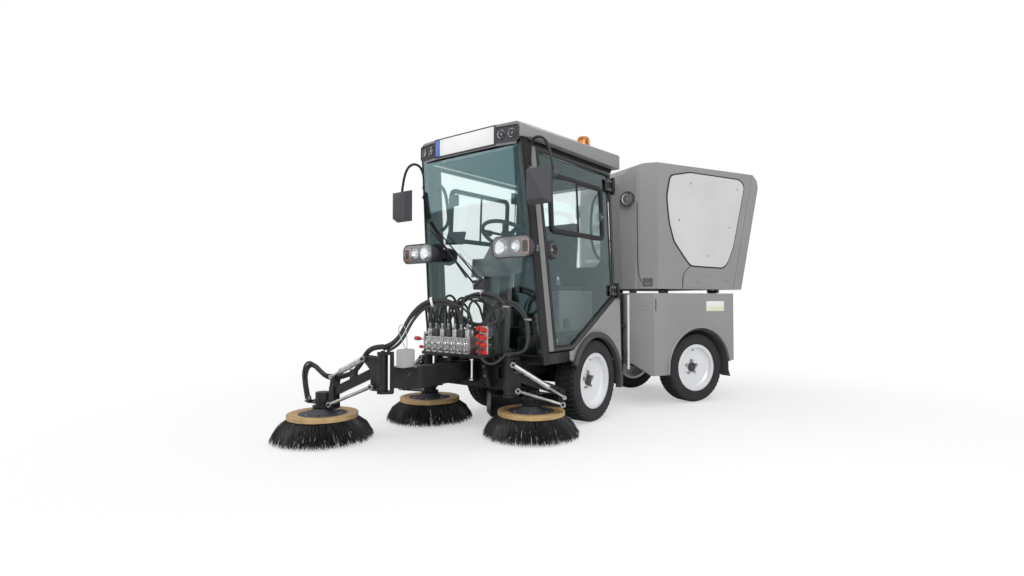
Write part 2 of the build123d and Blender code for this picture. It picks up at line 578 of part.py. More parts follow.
SLIDER_T = 18.0
with BuildPart() as door_left:
    with BuildSketch(side_plane(DOOR_T)) as panel:
        Polygon(*door_outline(), align=None)
    with BuildSketch(side_plane(DOOR_T)) as opening:
        door_opening(0)
    extrude(panel.sketch, amount=DOOR_T)
    extrude(opening.sketch, amount=DOOR_T, mode=Mode.SUBTRACT)
    with BuildSketch(side_plane((DOOR_T + SLIDER_T) / 2)) as surround:
        slider_window(0)
        slider_window(SLIDER_FRAME_W, Mode.SUBTRACT)
    extrude(surround.sketch, amount=SLIDER_T)
    with BuildSketch(side_plane((DOOR_T - GLASS_T) / 2 - SEAT_GAP)) as handle:
        with Locations(HANDLE):
            Circle(48)
            Circle(34, mode=Mode.SUBTRACT)
    extrude(handle.sketch, amount=22)
    for low, high in HINGE_Z:
        slab(side_plane(), ((235, low + 36), (HINGE_Y, low + 36), (HINGE_Y, high - 36), (235, high - 36)), 8)
        foot = Vector(side_x(low + 35) + HINGE_OUT, HINGE_Y, low + 35)
        head = Vector(side_x(high - 35) + HINGE_OUT, HINGE_Y, high - 35)
        rod(foot, head, HINGE_R)
        rod(foot - SIDE_DIR, head + SIDE_DIR, HINGE_PIN_R + PIN_GAP, Mode.SUBTRACT)

with BuildPart() as door_left_glass:
    with BuildSketch(side_plane((DOOR_T + GLASS_T) / 2)) as pane:
        door_opening(SEAT_GAP)
        slider_window(-SEAT_GAP, Mode.SUBTRACT)
    extrude(pane.sketch, amount=GLASS_T)
    with BuildSketch(side_plane((DOOR_T + GLASS_T) / 2)) as slider:
        slider_window(SLIDER_FRAME_W + SEAT_GAP)
    extrude(slider.sketch, amount=GLASS_T)

with BuildPart() as door_right:
    mirror(door_left.part, about=Plane.YZ)

with BuildPart() as door_right_glass:
    mirror(door_left_glass.part, about=Plane.YZ)

# Inside the cab
WHEEL_CENTRE = (0.0, -372.0, 1318.0)
STEER_WHEEL_R = 188.0
STEER_TILT_DEG = 28.0
steer_axis = Vector(0, sin(radians(STEER_TILT_DEG)), cos(radians(STEER_TILT_DEG)))
floor_top = RAIL_Z + RAIL_H + SEAT_GAP + FLOOR_T + SEAT_GAP
column_top = Vector(*WHEEL_CENTRE) - steer_axis * 60
column_face = [
    (column_top.Y + reach * steer_axis.Z, column_top.Z - reach * steer_axis.Y) for reach in (28, -45)
]
with BuildPart() as dashboard:
    slab(Plane.YZ.offset(-75), (
        (-560, CAB_SILL_Z + SEAT_GAP), (-450, CAB_SILL_Z + SEAT_GAP), (-400, 1180), *column_face,
        (-545, 1150),
    ), 150)
    slab(Plane.YZ.offset(-180), ((-560, 1020), (-440, 1050), (-430, 1160), (-545, 1150)), 360)
    for x in (-170.0, 110.0):
        block((x, x + 70), (-560, -500), (CAB_SILL_Z + SEAT_GAP, CAB_SILL_Z + 60))
    block((180, 282), (-140, 320), (floor_top, 930))
    rod((228, -60, 925), (228, -75, 1010), 14)

with BuildPart() as steering_wheel:
    tilt = Plane(origin=WHEEL_CENTRE, x_dir=(1, 0, 0), z_dir=steer_axis)
    with Locations(tilt.location):
        Torus(STEER_WHEEL_R, 14)
        Cylinder(46, 34)
    for spoke_deg in (90.0, 210.0, 330.0):
        out = tilt.from_local_coords(Vector(cos(radians(spoke_deg)), sin(radians(spoke_deg)), 0) * STEER_WHEEL_R)
        rod(WHEEL_CENTRE, out, 9)
    rod(WHEEL_CENTRE, column_top + steer_axis * 0.5, 20)

SEAT_X = 235.0
with BuildPart() as seat:
    block((-170, 170), (-60, 300), (floor_top, 800))
    block((-SEAT_X, 175), (-190, 230), (800, 835))
    with BuildSketch(Plane.YZ.offset(-SEAT_X)) as cushion:
        with BuildLine():
            Polyline((-215, 840), (-240, 900), (-200, 935), (150, 915), (190, 950), (255, 1450))
            ThreePointArc((255, 1450), (300, 1490), (328, 1440))
            Polyline((328, 1440), (300, 960), (230, 830), (-215, 830), (-215, 840))
        make_face()
    extrude(cushion.sketch, amount=SEAT_X + 175)

# Mirrors on bent tubes
MIRROR = (602.0, -838.0, CAB_TOP_Z - 327.0)
MIRROR_SIZE = (160.0, 56.0, 222.0)
with BuildPart() as mirrors:
    bracket_z = CAB_TOP_Z - 222
    post = (side_x(bracket_z) + 14, pillar_y(bracket_z) - 8)
    block((side_x(bracket_z - 60) + SEAT_GAP, post[0] + 14), (post[1] - 16, post[1] + 16), (bracket_z - 60, bracket_z + 40))
    arm_y = MIRROR[1] + 58
    pipe((
        (post[0], post[1], bracket_z), (post[0] + 12, post[1] - 20, bracket_z + 150), (545, arm_y, bracket_z + 198),
        (640, arm_y, bracket_z + 150), (676, arm_y, MIRROR[2] + 50),
    ), 9, (50, 50, 50))
    rod((676, arm_y - 4, MIRROR[2] + 65), (650, MIRROR[1] + 20, MIRROR[2] + 65), 15)
    with BuildSketch(Plane.XZ.offset(-MIRROR[1] - MIRROR_SIZE[1] / 2)) as shell:
        with Locations((MIRROR[0], MIRROR[2])):
            RectangleRounded(MIRROR_SIZE[0], MIRROR_SIZE[2], 24)
    extrude(shell.sketch, amount=MIRROR_SIZE[1], taper=12)
    mirror(about=Plane.YZ)

# Hoses from the valves over to the carrier behind them
HOSE_R = 10.0
with BuildPart() as front_hoses:
    for index, x in enumerate(VALVE_X):
        rise = 858.0 + 14.0 * (index % 3)
        low_x = x + 45 * (x > 0) - 45 * (x < 0)
        low_z = 460 + SEAT_GAP if x else BOOM_Z[1] + 2 * PIN_GAP + FORK_T + SEAT_GAP
        hose(((x, -962, 712 + SEAT_GAP), (x, -958, rise), (low_x, -766, rise + 12), (low_x, -714, low_z + 1.3)), HOSE_R)

# Boom for the third brush
third = ARMS[2]
BOOM_END = (third[1], third[2])


def beam(start, end, width, low, high):
    """A level box beam between two points."""
    run = Vector(end[0] - start[0], end[1] - start[1], 0)
    middle = Plane(origin=(start[0], start[1], low), x_dir=run, z_dir=(0, 0, 1))
    with BuildSketch(middle) as section:
        with Locations((run.length / 2, 0)):
            Rectangle(run.length, width)
    extrude(section.sketch, amount=high - low)


with BuildPart() as boom:
    rod((*BOOM_ROOT, BOOM_Z[0]), (*BOOM_ROOT, BOOM_Z[1]), BOOM_HUB_R)
    beam(BOOM_ROOT, BOOM_CORNER, BOOM_W, *BOOM_Z)
    rod((*BOOM_CORNER, BOOM_Z[0] - 6), (*BOOM_CORNER, BOOM_Z[1] + 6), BOOM_W / 2)
    run = (Vector(*BOOM_END) - Vector(*BOOM_CORNER))
    fork_start = Vector(*BOOM_END) - run.normalized() * 62
    beam(BOOM_CORNER, (fork_start.X, fork_start.Y), BOOM_W, *BOOM_Z)
    fork_low = third[7] - LINK_DROP - EYE_R - 8
    fork_high = third[7] + third[11] + EYE_R + 8
    knuckle = (fork_start.X, fork_start.Y)
    back = Vector(*BOOM_END) - run.normalized() * 44
    beam((back.X, back.Y), knuckle, 66, fork_low - FORK_T, fork_high + FORK_T)
    for low in (fork_low - FORK_T - SEAT_GAP, fork_high + SEAT_GAP):
        beam(knuckle, BOOM_END, 66, low, low + FORK_T)
        rod((*BOOM_END, low), (*BOOM_END, low + FORK_T), 33)
    rod((*BOOM_END, fork_low - FORK_T), (*BOOM_END, fork_high + FORK_T + 8), SWING_PIN_R)
    rod((*BOOM_ROOT, BOOM_Z[0] - 1), (*BOOM_ROOT, BOOM_Z[1] + 1), BOOM_PIN_R + PIN_GAP, Mode.SUBTRACT)


def cheek(points, side_y):
    """An upright plate beside the arm, from points along the arm and up."""
    low = side_y if side_y > 0 else side_y - CHEEK_T
    slab(Plane.XZ.offset(-low - CHEEK_T), points, CHEEK_T)


def make_arm(row):
    """One brush arm with its pieces in the arm's own frame: swing axis at the origin, arm along X."""
    name, root_x, root_y, bearing, side, length, drop, pin_z, along, across, cyl_x, cyl_up, eye_x, eye_up = row
    pin_x = ARM_PIN_X
    end_x = pin_x + length
    end_z = pin_z - drop
    link_y = -side * LINK_SIDE
    hub_low = pin_z - LINK_DROP - EYE_R - 8
    hub_high = pin_z + cyl_up + EYE_R + 8
    low_limit, high_limit = (FORK_Z[0] + FORK_T, FORK_Z[1] - FORK_T) if root_x * root_x > 40000 else (hub_low, hub_high)
    stub_y = -side * (CHEEK_IN + CHEEK_T + 32)

    with BuildPart() as bracket:
        rod((0, 0, low_limit + SEAT_GAP), (0, 0, high_limit - SEAT_GAP), SWING_HUB_R)
        for side_y in (-CHEEK_IN, CHEEK_IN):
            cheek((
                (0, hub_low), (pin_x + 16, hub_low), (pin_x + 20, pin_z + 18),
                (cyl_x + 18, pin_z + cyl_up - 8), (cyl_x + 14, pin_z + cyl_up + 16), (0, pin_z + cyl_up + 10),
            ), side_y)
        rod((pin_x, -CHEEK_IN - 4, pin_z), (pin_x, CHEEK_IN + 4, pin_z), ARM_PIN_R)
        for x, z in ((pin_x, pin_z - LINK_DROP), (cyl_x, pin_z + cyl_up)):
            rod((x, 0, z), (x, stub_y, z), 8)
        rod((0, 0, low_limit), (0, 0, high_limit), SWING_PIN_R + PIN_GAP, Mode.SUBTRACT)

    with BuildPart() as arm:
        outline = (
            (pin_x - 14, pin_z - 16), (pin_x - 14, pin_z + 18), (pin_x + 30, pin_z + 24),
            (end_x - 30, end_z + 36), (end_x + 16, end_z + 16), (end_x + 16, end_z - 16),
            (end_x - 40, end_z - 16), (pin_x + 30, pin_z - 34),
        )
        slab(Plane.XZ.offset(-ARM_W / 2), outline, ARM_W)
        for x, z in ((pin_x, pin_z), (end_x, end_z)):
            rod((x, -ARM_W, z), (x, ARM_W, z), ARM_PIN_R + PIN_GAP, Mode.SUBTRACT)

    with BuildPart() as link:
        start = (pin_x, link_y, pin_z - LINK_DROP)
        end = (end_x, link_y, end_z - LINK_DROP)
        rod(start, end, LINK_R)
        for point in (start, end):
            rod((point[0], link_y - EYE_W / 2, point[2]), (point[0], link_y + EYE_W / 2, point[2]), EYE_R)
        for point in (start, end):
            rod((point[0], link_y - EYE_W, point[2]), (point[0], link_y + EYE_W, point[2]), 8 + PIN_GAP, Mode.SUBTRACT)

    with BuildPart() as cylinder:
        start = Vector(cyl_x, link_y, pin_z + cyl_up)
        end = Vector(end_x + eye_x, link_y, end_z + eye_up)
        reach = (end - start).normalized()
        rod(start + reach * 10, start + (end - start) * 0.68, 16)
        rod(start, end, 8)
        rod(start + (end - start) * 0.66, start + (end - start) * 0.70, 18)
        rod((start.X, link_y - EYE_W / 2, start.Z), (start.X, link_y + EYE_W / 2, start.Z), EYE_R)
        rod((end.X, -side * (LINK_SIDE + EYE_W / 2), end.Z), (end.X, -side * (CHEEK_IN + CHEEK_T + SEAT_GAP), end.Z), 13)
        rod((start.X, link_y - EYE_W, start.Z), (start.X, link_y + EYE_W, start.Z), 8 + PIN_GAP, Mode.SUBTRACT)

    cx, cy = along, side * across
    plate_z = DISC_TOP_Z + 30 + HUB_GAP
    cheek_top = [(end_x + 20, end_z + 14), (end_x - 16, end_z + 14)]
    if eye_up > 0:
        cheek_top[1:1] = [(end_x + eye_x + 16, end_z + eye_up + 10), (end_x + eye_x - 16, end_z + eye_up + 10)]
    with BuildPart() as head:
        for side_y in (-CHEEK_IN, CHEEK_IN):
            cheek(((end_x - 24, plate_z), (end_x + 24, plate_z), *cheek_top), side_y)
        rod((end_x, -CHEEK_IN - 4, end_z), (end_x, CHEEK_IN + 4, end_z), ARM_PIN_R)
        rod((end_x, -side * (CHEEK_IN + 2), end_z - LINK_DROP), (end_x, stub_y, end_z - LINK_DROP), 8)
        reach = Vector(cx - end_x, cy, 0)
        across_reach = Vector(-reach.Y, reach.X, 0).normalized()
        corners = [Vector(end_x, 0) + across_reach * 24, Vector(end_x, 0) - across_reach * 24]
        corners += [Vector(cx, cy) - across_reach * 44, Vector(cx, cy) + across_reach * 44]
        with BuildSketch(Plane.XY.offset(plate_z)) as plate:
            Polygon(*[(corner.X, corner.Y) for corner in corners], align=None)
            with Locations((end_x, 0)):
                Rectangle(48, 2 * (CHEEK_IN + CHEEK_T))
            with Locations((cx, cy)):
                Circle(62)
        extrude(plate.sketch, amount=HEAD_PLATE_T)
        rod((cx, cy, plate_z), (cx, cy, plate_z + 92), MOTOR_R)
        rod((cx, cy, plate_z + 30), (cx, cy, plate_z + 48), MOTOR_R + 10)
        rod((cx, cy, DISC_TOP_Z - DISC_T + 4), (cx, cy, plate_z + 4), 14)

    disc_low = DISC_TOP_Z - DISC_T
    bore = 14 + PIN_GAP
    with BuildPart() as brush:
        with BuildSketch(Plane.XZ) as half_section:
            Polygon(
                (bore, DISC_TOP_Z - 14), (bore, DISC_TOP_Z + 30), (60, DISC_TOP_Z + 30), (60, DISC_TOP_Z),
                (DISC_R, DISC_TOP_Z), (DISC_R, disc_low), (BRUSH_TOP_R, disc_low), (BRUSH_R, BRISTLE_LOW_Z + 6),
                (BRUSH_R - 8, BRISTLE_LOW_Z), (250, BRISTLE_LOW_Z), (150, disc_low), (150, DISC_TOP_Z - 14),
                align=None,
            )
        revolve(half_section.sketch, axis=Axis.Z)

    place = Location((root_x, root_y, 0), (0, 0, bearing))
    return [
        (f"{name}_bracket", bracket.part.moved(place)),
        (f"{name}_arm", arm.part.moved(place)),
        (f"{name}_link", link.part.moved(place)),
        (f"{name}_cylinder", cylinder.part.moved(place)),
        (f"{name}_head", head.part.moved(place)),
        (f"{name}_brush", brush.part.moved(Location((cx, cy, 0))).moved(place)),
    ]

# Hopper module in its straight position
FRAME_REAR_Y = BODY_REAR_Y - BODY_SKIN - SEAT_GAP
PIPE_R = 90.0
PIPE_WALL = 6.0
PIPE_Y = 1000.0
PIPE_Z = 480.0
with BuildPart() as rear_frame:
    block_low = TYRE_R - PIVOT_BLOCK_H / 2
    block_high = TYRE_R + PIVOT_BLOCK_H / 2
    rod((0, PIVOT_Y, block_low), (0, PIVOT_Y, block_high), LUG_R)
    block((-50, 50), (PIVOT_Y, 920), (block_low, block_high))
    rod((0, PIVOT_Y, block_low - LUG_T - 14), (0, PIVOT_Y, block_high + LUG_T + 14), PIVOT_PIN_R)
    block((-215, 215), (900, 950), (block_low, RAIL_Z + RAIL_H - 10))
    for side in (-1, 1):
        rail = (side * RAIL_X - RAIL_W / 2, side * RAIL_X + RAIL_W / 2)
        block(rail, (900, BODY_REAR_Y + 10), (RAIL_Z, RAIL_Z + RAIL_H))
    cross_x = BODY_X - BODY_SKIN - SEAT_GAP
    block((-cross_x, cross_x), (FRAME_REAR_Y - 26, FRAME_REAR_Y), (400, 450))
    front_inside = BODY_CORNER_Y - BODY_CHAMFER + BODY_SKIN + SEAT_GAP
    block((-380, 380), (front_inside, 930), (RAIL_Z + 10, RAIL_Z + RAIL_H - 10))
    block((-60, 60), (BODY_REAR_Y + SEAT_GAP, BODY_REAR_Y + 95), (352, 374))
    with Locations((0, BODY_REAR_Y + 65, 360)):
        Cylinder(16, 60, mode=Mode.SUBTRACT)
    block((-430, 430), (BODY_REAR_Y + SEAT_GAP, BODY_REAR_Y + 42), (345, 395))
    rod((0, 840, PIPE_Z), (0, 1010, PIPE_Z), PIPE_R + MOVE_GAP, Mode.SUBTRACT)

body_front_y = BODY_CORNER_Y - BODY_CHAMFER
body_front_x = BODY_X - BODY_CHAMFER
BODY_PLAN = (
    (BODY_X, BODY_CORNER_Y), (body_front_x, body_front_y), (-body_front_x, body_front_y),
    (-BODY_X, BODY_CORNER_Y), (-BODY_X, BODY_REAR_Y), (BODY_X, BODY_REAR_Y),
)
with BuildPart() as rear_body:
    slab(Plane.XY.offset(BODY_LOW_Z), BODY_PLAN, BODY_TOP_Z - BODY_LOW_Z)
    with BuildSketch(Plane.XY.offset(BODY_LOW_Z)) as inside:
        Polygon(*BODY_PLAN, align=None)
        offset(amount=-BODY_SKIN, kind=Kind.INTERSECTION, mode=Mode.REPLACE)
    extrude(inside.sketch, amount=BODY_TOP_Z - BODY_LOW_Z - 14, mode=Mode.SUBTRACT)
    rod((-700, WHEELBASE, TYRE_R), (700, WHEELBASE, TYRE_R), ARCH_R + 4, Mode.SUBTRACT)
    slab(Plane.YZ.offset(-700), ((700, 240), (700, 420), (body_front_y, 352), (890, 345), (1010, 240)), 1400, Mode.SUBTRACT)
    block((-700, 700), (WHEELBASE, BODY_REAR_Y + 10), (BODY_LOW_Z - 10, 342), Mode.SUBTRACT)
    block((-150, 150), (body_front_y - 10, body_front_y + BODY_SKIN + 10), (PIPE_Z - 130, PIPE_Z + 130), Mode.SUBTRACT)
    for side in (-1, 1):
        slot = RAIL_W / 2 + SEAT_GAP
        block(
            (side * RAIL_X - slot, side * RAIL_X + slot),
            (BODY_REAR_Y - BODY_SKIN - 1, BODY_REAR_Y + 1),
            (300, RAIL_Z + RAIL_H + SEAT_GAP),
            Mode.SUBTRACT,
        )
    with Locations((0, PIPE_Y, BODY_TOP_Z)):
        Cylinder(PIPE_R + SEAT_GAP, 60, mode=Mode.SUBTRACT)
    for side in (-1, 1):
        middle = side * TIP_LUG_X
        block((middle - 22, middle + 22), (TIP_Y - 14, TIP_Y + 12), (BODY_TOP_Z - 2, TIP_Z))
        rod((middle - 22, TIP_Y, TIP_Z), (middle + 22, TIP_Y, TIP_Z), 13)
        rod((middle - 60, TIP_Y, TIP_Z), (middle + 60, TIP_Y, TIP_Z), 7)
        block((middle - 30, middle + 30), (950, 980), (BODY_TOP_Z - 2, HOPPER_LOW_Z - SEAT_GAP))

with BuildPart() as engine:
    block((-205, 205), (1100, 1410), (RAIL_Z + RAIL_H + SEAT_GAP, 790))

with BuildPart() as suction_pipe:
    pipe_points = ((0, body_front_y - 8, PIPE_Z), (0, PIPE_Y, PIPE_Z), (0, PIPE_Y, HOPPER_LOW_Z - MOVE_GAP))
    pipe(pipe_points, PIPE_R, (118,))
    pipe(pipe_points, PIPE_R - PIPE_WALL, (118,), Mode.SUBTRACT)

rake = (HOPPER_REAR_TOP_Y - HOPPER_REAR_LOW_Y) / (HOPPER_SHOULDER_Z - HOPPER_LOW_Z)
HOPPER_FRONT_Y = 850.0
HOPPER_PLAN = (
    (BODY_X, 1050), (430, 935), (290, HOPPER_FRONT_Y), (-290, HOPPER_FRONT_Y), (-430, 935), (-BODY_X, 1050),
    (-BODY_X, HOPPER_REAR_TOP_Y + 104), (BODY_X, HOPPER_REAR_TOP_Y + 104),
)


def door_line(z, gap=0.0):
    """Where the hopper ends and its door begins, at a height."""
    return HOPPER_REAR_LOW_Y - HOPPER_DOOR_D - gap + rake * (z - HOPPER_LOW_Z)


with BuildPart() as hopper:
    slab(Plane.YZ.offset(-BODY_X), (
        (HOPPER_FRONT_Y + 18, HOPPER_LOW_Z), (door_line(HOPPER_LOW_Z, MOVE_GAP), HOPPER_LOW_Z),
        (door_line(HOPPER_TOP_Z, MOVE_GAP), HOPPER_TOP_Z), (HOPPER_FRONT_Y + 120, HOPPER_TOP_Z),
        (HOPPER_FRONT_Y + 60, HOPPER_TOP_Z - 22), (HOPPER_FRONT_Y + 24, HOPPER_TOP_Z - 70),
        (HOPPER_FRONT_Y, HOPPER_TOP_Z - 150),
    ), 2 * BODY_X)
    with BuildSketch(Plane.XY.offset(HOPPER_LOW_Z)) as plan:
        Polygon(*HOPPER_PLAN, align=None)
    extrude(plan.sketch, amount=HOPPER_TOP_Z - HOPPER_LOW_Z, mode=Mode.INTERSECT)
    with BuildSketch(Plane.XY.offset(HOPPER_LOW_Z + HOPPER_WALL)) as inside:
        Polygon(*HOPPER_PLAN, align=None)
        offset(amount=-HOPPER_WALL, kind=Kind.INTERSECTION, mode=Mode.REPLACE)
        with Locations((0, HOPPER_FRONT_Y)):
            Rectangle(2 * BODY_X, 2 * 150, mode=Mode.SUBTRACT)
    extrude(inside.sketch, amount=HOPPER_TOP_Z - HOPPER_LOW_Z - 2 * HOPPER_WALL, mode=Mode.SUBTRACT)
    with Locations((0, PIPE_Y + 60, HOPPER_LOW_Z)):
        Cylinder(PIPE_R, 3 * HOPPER_WALL, mode=Mode.SUBTRACT)
    for side in (-1, 1):
        lamp = Vector(side * 370, HOPPER_FRONT_Y + 80 * 85 / 140, HOPPER_TOP_Z - 288)
        out = Vector(side * 85, -140, 0).normalized()
        rod(lamp - out * 4, lamp + out * 34, 60)
        for x in (side * TIP_LUG_X - 42, side * TIP_LUG_X + 42):
            rod((x - 18, TIP_Y, TIP_Z), (x + 18, TIP_Y, TIP_Z), 13)
            block((x - 18, x + 18), (TIP_Y - 13, TIP_Y + 13), (TIP_Z, HOPPER_LOW_Z + 2))
            rod((x - 19, TIP_Y, TIP_Z), (x + 19, TIP_Y, TIP_Z), 7 + PIN_GAP, Mode.SUBTRACT)

DOOR_AXIS = (door_line(HOPPER_TOP_Z) + 4, HOPPER_TOP_Z + 13)
DOOR_LUG_X = 270.0
with BuildPart() as hopper_hinge:
    for side in (-1, 1):
        x = side * DOOR_LUG_X
        rod((x - 25, *DOOR_AXIS), (x + 25, *DOOR_AXIS), 12)
        block((x - 25, x + 25), (DOOR_AXIS[0] - 70, DOOR_AXIS[0] - 6), (HOPPER_TOP_Z - 2, HOPPER_TOP_Z + 16))
        rod((x - 62, *DOOR_AXIS), (x + 62, *DOOR_AXIS), 6)
hopper_part = hopper.part + hopper_hinge.part

with BuildPart() as hopper_door:
    top_y = HOPPER_REAR_TOP_Y - 96
    slab(Plane.YZ.offset(-BODY_X), (
        (door_line(HOPPER_LOW_Z), HOPPER_LOW_Z), (HOPPER_REAR_LOW_Y, HOPPER_LOW_Z),
        (HOPPER_REAR_TOP_Y, HOPPER_SHOULDER_Z), (HOPPER_REAR_TOP_Y - 12, HOPPER_TOP_Z - 50),
        (HOPPER_REAR_TOP_Y - 50, HOPPER_TOP_Z - 12), (HOPPER_REAR_TOP_Y - 66, HOPPER_TOP_Z),
        (door_line(HOPPER_TOP_Z), HOPPER_TOP_Z),
    ), 2 * BODY_X)
    slab(Plane.YZ.offset(-BODY_X + 40), (
        (door_line(HOPPER_LOW_Z) - 50, HOPPER_LOW_Z + 40), (HOPPER_REAR_LOW_Y - 26, HOPPER_LOW_Z + 40),
        (HOPPER_REAR_TOP_Y - 50, HOPPER_SHOULDER_Z - 10), (door_line(HOPPER_SHOULDER_Z) - 50, HOPPER_SHOULDER_Z - 10),
    ), 2 * BODY_X - 80, Mode.SUBTRACT)
    for side in (-1, 1):
        for x in (side * DOOR_LUG_X - 44, side * DOOR_LUG_X + 44):
            block((x - 16, x + 16), (DOOR_AXIS[0], DOOR_AXIS[0] + 50), (HOPPER_TOP_Z - 52, HOPPER_TOP_Z + 8))
            rod((x - 16, *DOOR_AXIS), (x + 16, *DOOR_AXIS), 12)
            rod((x - 17, *DOOR_AXIS), (x + 17, *DOOR_AXIS), 6 + PIN_GAP, Mode.SUBTRACT)

PANEL_REAR_Y = HOPPER_REAR_LOW_Y + 41.0
PANEL_TOP_Z = HOPPER_TOP_Z - 56.0
SIDE_PANEL = (
    (1186, PANEL_TOP_Z - 43), (1148, 1710), (1172, 1498), (1221, 1345), (1303, 1249), (1395, 1150),
    (PANEL_REAR_Y - 258, 1140), (PANEL_REAR_Y - 202, 1192), (PANEL_REAR_Y - 138, 1330),
    (PANEL_REAR_Y - 43, PANEL_TOP_Z - 232), (PANEL_REAR_Y, PANEL_TOP_Z - 56), (PANEL_REAR_Y - 58, PANEL_TOP_Z - 7),
    (1392, PANEL_TOP_Z),
)
with BuildPart() as hopper_panels:
    slab(Plane.YZ.offset(BODY_X + SEAT_GAP), SIDE_PANEL, 5)
    mirror(about=Plane.YZ)

with BuildPart() as rear_lamps:
    for side in (-1, 1):
        with BuildSketch(Plane.XZ.offset(-BODY_REAR_Y - SEAT_GAP)) as lamp:
            with Locations((side * 455, 640)):
                RectangleRounded(96, 210, 16)
        extrude(lamp.sketch, amount=-34)

STEERED = Location((0, PIVOT_Y, 0), (0, 0, -STEER_DEG)) * Location((0, -PIVOT_Y, 0))

axle = make_axle()
pieces = [
    ("front_chassis", front_chassis.part), ("front_axle", axle), ("suction_mouth", suction_mouth.part),
    ("suction_duct", suction_duct.part), ("suction_duct_sides", suction_duct_sides.part),
    ("lift_frame", lift_frame.part), ("manifold", manifold.part), ("cab_frame", cab_frame.part),
    ("cab_glass", cab_glass.part), ("roof", roof.part), ("lamps", lamps.part), ("beacon", beacon_part),
    ("side_panels", side_panels.part), ("front_flares", front_flares.part),
    ("door_left", door_left.part), ("door_left_glass", door_left_glass.part),
    ("door_right", door_right.part), ("door_right_glass", door_right_glass.part),
    ("dashboard", dashboard.part), ("steering_wheel", steering_wheel.part), ("seat", seat.part),
    ("mirrors", mirrors.part), ("boom", boom.part), ("front_hoses", front_hoses.part),
]
for row in ARMS:
    pieces += make_arm(row)
rear_pieces = [
    ("rear_frame", rear_frame.part), ("rear_axle", axle.moved(Location((0, WHEELBASE, 0)))),
    ("rear_body", rear_body.part), ("engine", engine.part), ("suction_pipe", suction_pipe.part),
    ("hopper", hopper_part), ("hopper_door", hopper_door.part), ("hopper_panels", hopper_panels.part),
    ("rear_lamps", rear_lamps.part),
]
for side, turn, hand in ((1, 0, "left"), (-1, 180, "right")):
    for y, end, group in ((0, "front", pieces), (WHEELBASE, "rear", rear_pieces)):
        place = Location((side * WHEEL_X, y, TYRE_R), (0, 0, turn))
        group.append((f"{end}_{hand}_tyre", tyre.part.moved(place)))
        group.append((f"{end}_{hand}_rim", rim.part.moved(place)))
pieces += [(name, shape.moved(STEERED)) for name, shape in rear_pieces]

boxes = [shape.bounding_box() for name, shape in pieces]
low_x = min(box.min.X for box in boxes)
high_x = max(box.max.X for box in boxes)
low_y = min(box.min.Y for box in boxes)
high_y = max(box.max.Y for box in boxes)
ORIGIN = (round((low_x + high_x) / 2), round((low_y + high_y) / 2))
os.makedirs("parts", exist_ok=True)
for name, shape in pieces:
    placed = shape.moved(Location((-ORIGIN[0], -ORIGIN[1], 0)))
    placed.label = name
    export_step(placed, f"parts/{name}.step")
print("origin", ORIGIN, "box", low_x, high_x, low_y, high_y)
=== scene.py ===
"""Street sweeper: looks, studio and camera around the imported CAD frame.

Pieces are modelled in millimetres in the vehicle frame of the CAD source, and placed into the frame's
metres when they are delivered. The vehicle frame has X to the machine's left, Y to its rear and Z up, with
the front axle above 0, 0.
"""

import json
import logging
import math
import random
from dataclasses import dataclass
from enum import Enum
from typing import Callable, Iterable, Sequence

import bpy
import numpy as np
from mathutils import Matrix, Vector

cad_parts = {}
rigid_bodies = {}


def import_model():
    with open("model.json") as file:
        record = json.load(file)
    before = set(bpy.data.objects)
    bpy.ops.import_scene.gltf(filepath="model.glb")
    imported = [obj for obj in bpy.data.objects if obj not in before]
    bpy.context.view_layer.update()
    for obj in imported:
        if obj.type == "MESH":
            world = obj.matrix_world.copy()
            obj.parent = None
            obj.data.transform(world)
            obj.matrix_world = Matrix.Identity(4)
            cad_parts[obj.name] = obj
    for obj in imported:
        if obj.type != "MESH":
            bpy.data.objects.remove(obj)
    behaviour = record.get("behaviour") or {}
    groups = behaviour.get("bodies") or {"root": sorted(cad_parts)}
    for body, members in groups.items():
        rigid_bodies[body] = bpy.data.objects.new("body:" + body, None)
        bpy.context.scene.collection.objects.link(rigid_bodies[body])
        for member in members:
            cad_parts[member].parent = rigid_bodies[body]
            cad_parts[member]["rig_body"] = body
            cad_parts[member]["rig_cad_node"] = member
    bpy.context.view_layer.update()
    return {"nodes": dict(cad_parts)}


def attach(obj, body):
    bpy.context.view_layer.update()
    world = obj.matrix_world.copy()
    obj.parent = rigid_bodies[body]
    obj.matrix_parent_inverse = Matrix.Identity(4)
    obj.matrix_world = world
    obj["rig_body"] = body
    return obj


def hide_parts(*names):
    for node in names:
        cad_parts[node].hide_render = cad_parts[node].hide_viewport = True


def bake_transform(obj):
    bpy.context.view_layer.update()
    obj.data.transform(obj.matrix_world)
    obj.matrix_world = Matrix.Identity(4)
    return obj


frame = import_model()

logging.basicConfig(level=logging.INFO, format="%(message)s")
log = logging.getLogger("sweeper")

Point = Sequence[float]
Piece = bpy.types.Object

MM = 0.001
CAB = Matrix.Scale(MM, 4) @ Matrix.Translation((-118, -247, 0))
PIVOT = Vector((0, 750, 0))
STEER_DEG = -25.5
REAR = (
    CAB @ Matrix.Translation(PIVOT) @ Matrix.Rotation(math.radians(STEER_DEG), 4, "Z")
    @ Matrix.Translation(-PIVOT)
)
SIDES = (1, -1)


class Axis(Enum):
    """A direction that something turns about or runs along."""

    X = Vector((1, 0, 0))
    Y = Vector((0, 1, 0))
    Z = Vector((0, 0, 1))


# Finishes


class Pattern(Enum):
    """How a finish varies over the surface."""

    GRAIN = "fine even grain"
    BRUSHED = "fine lines one way"
    WEAVE = "woven cloth"
    CAST = "coarse cast skin"
    DUSTY = "rubber with dust"


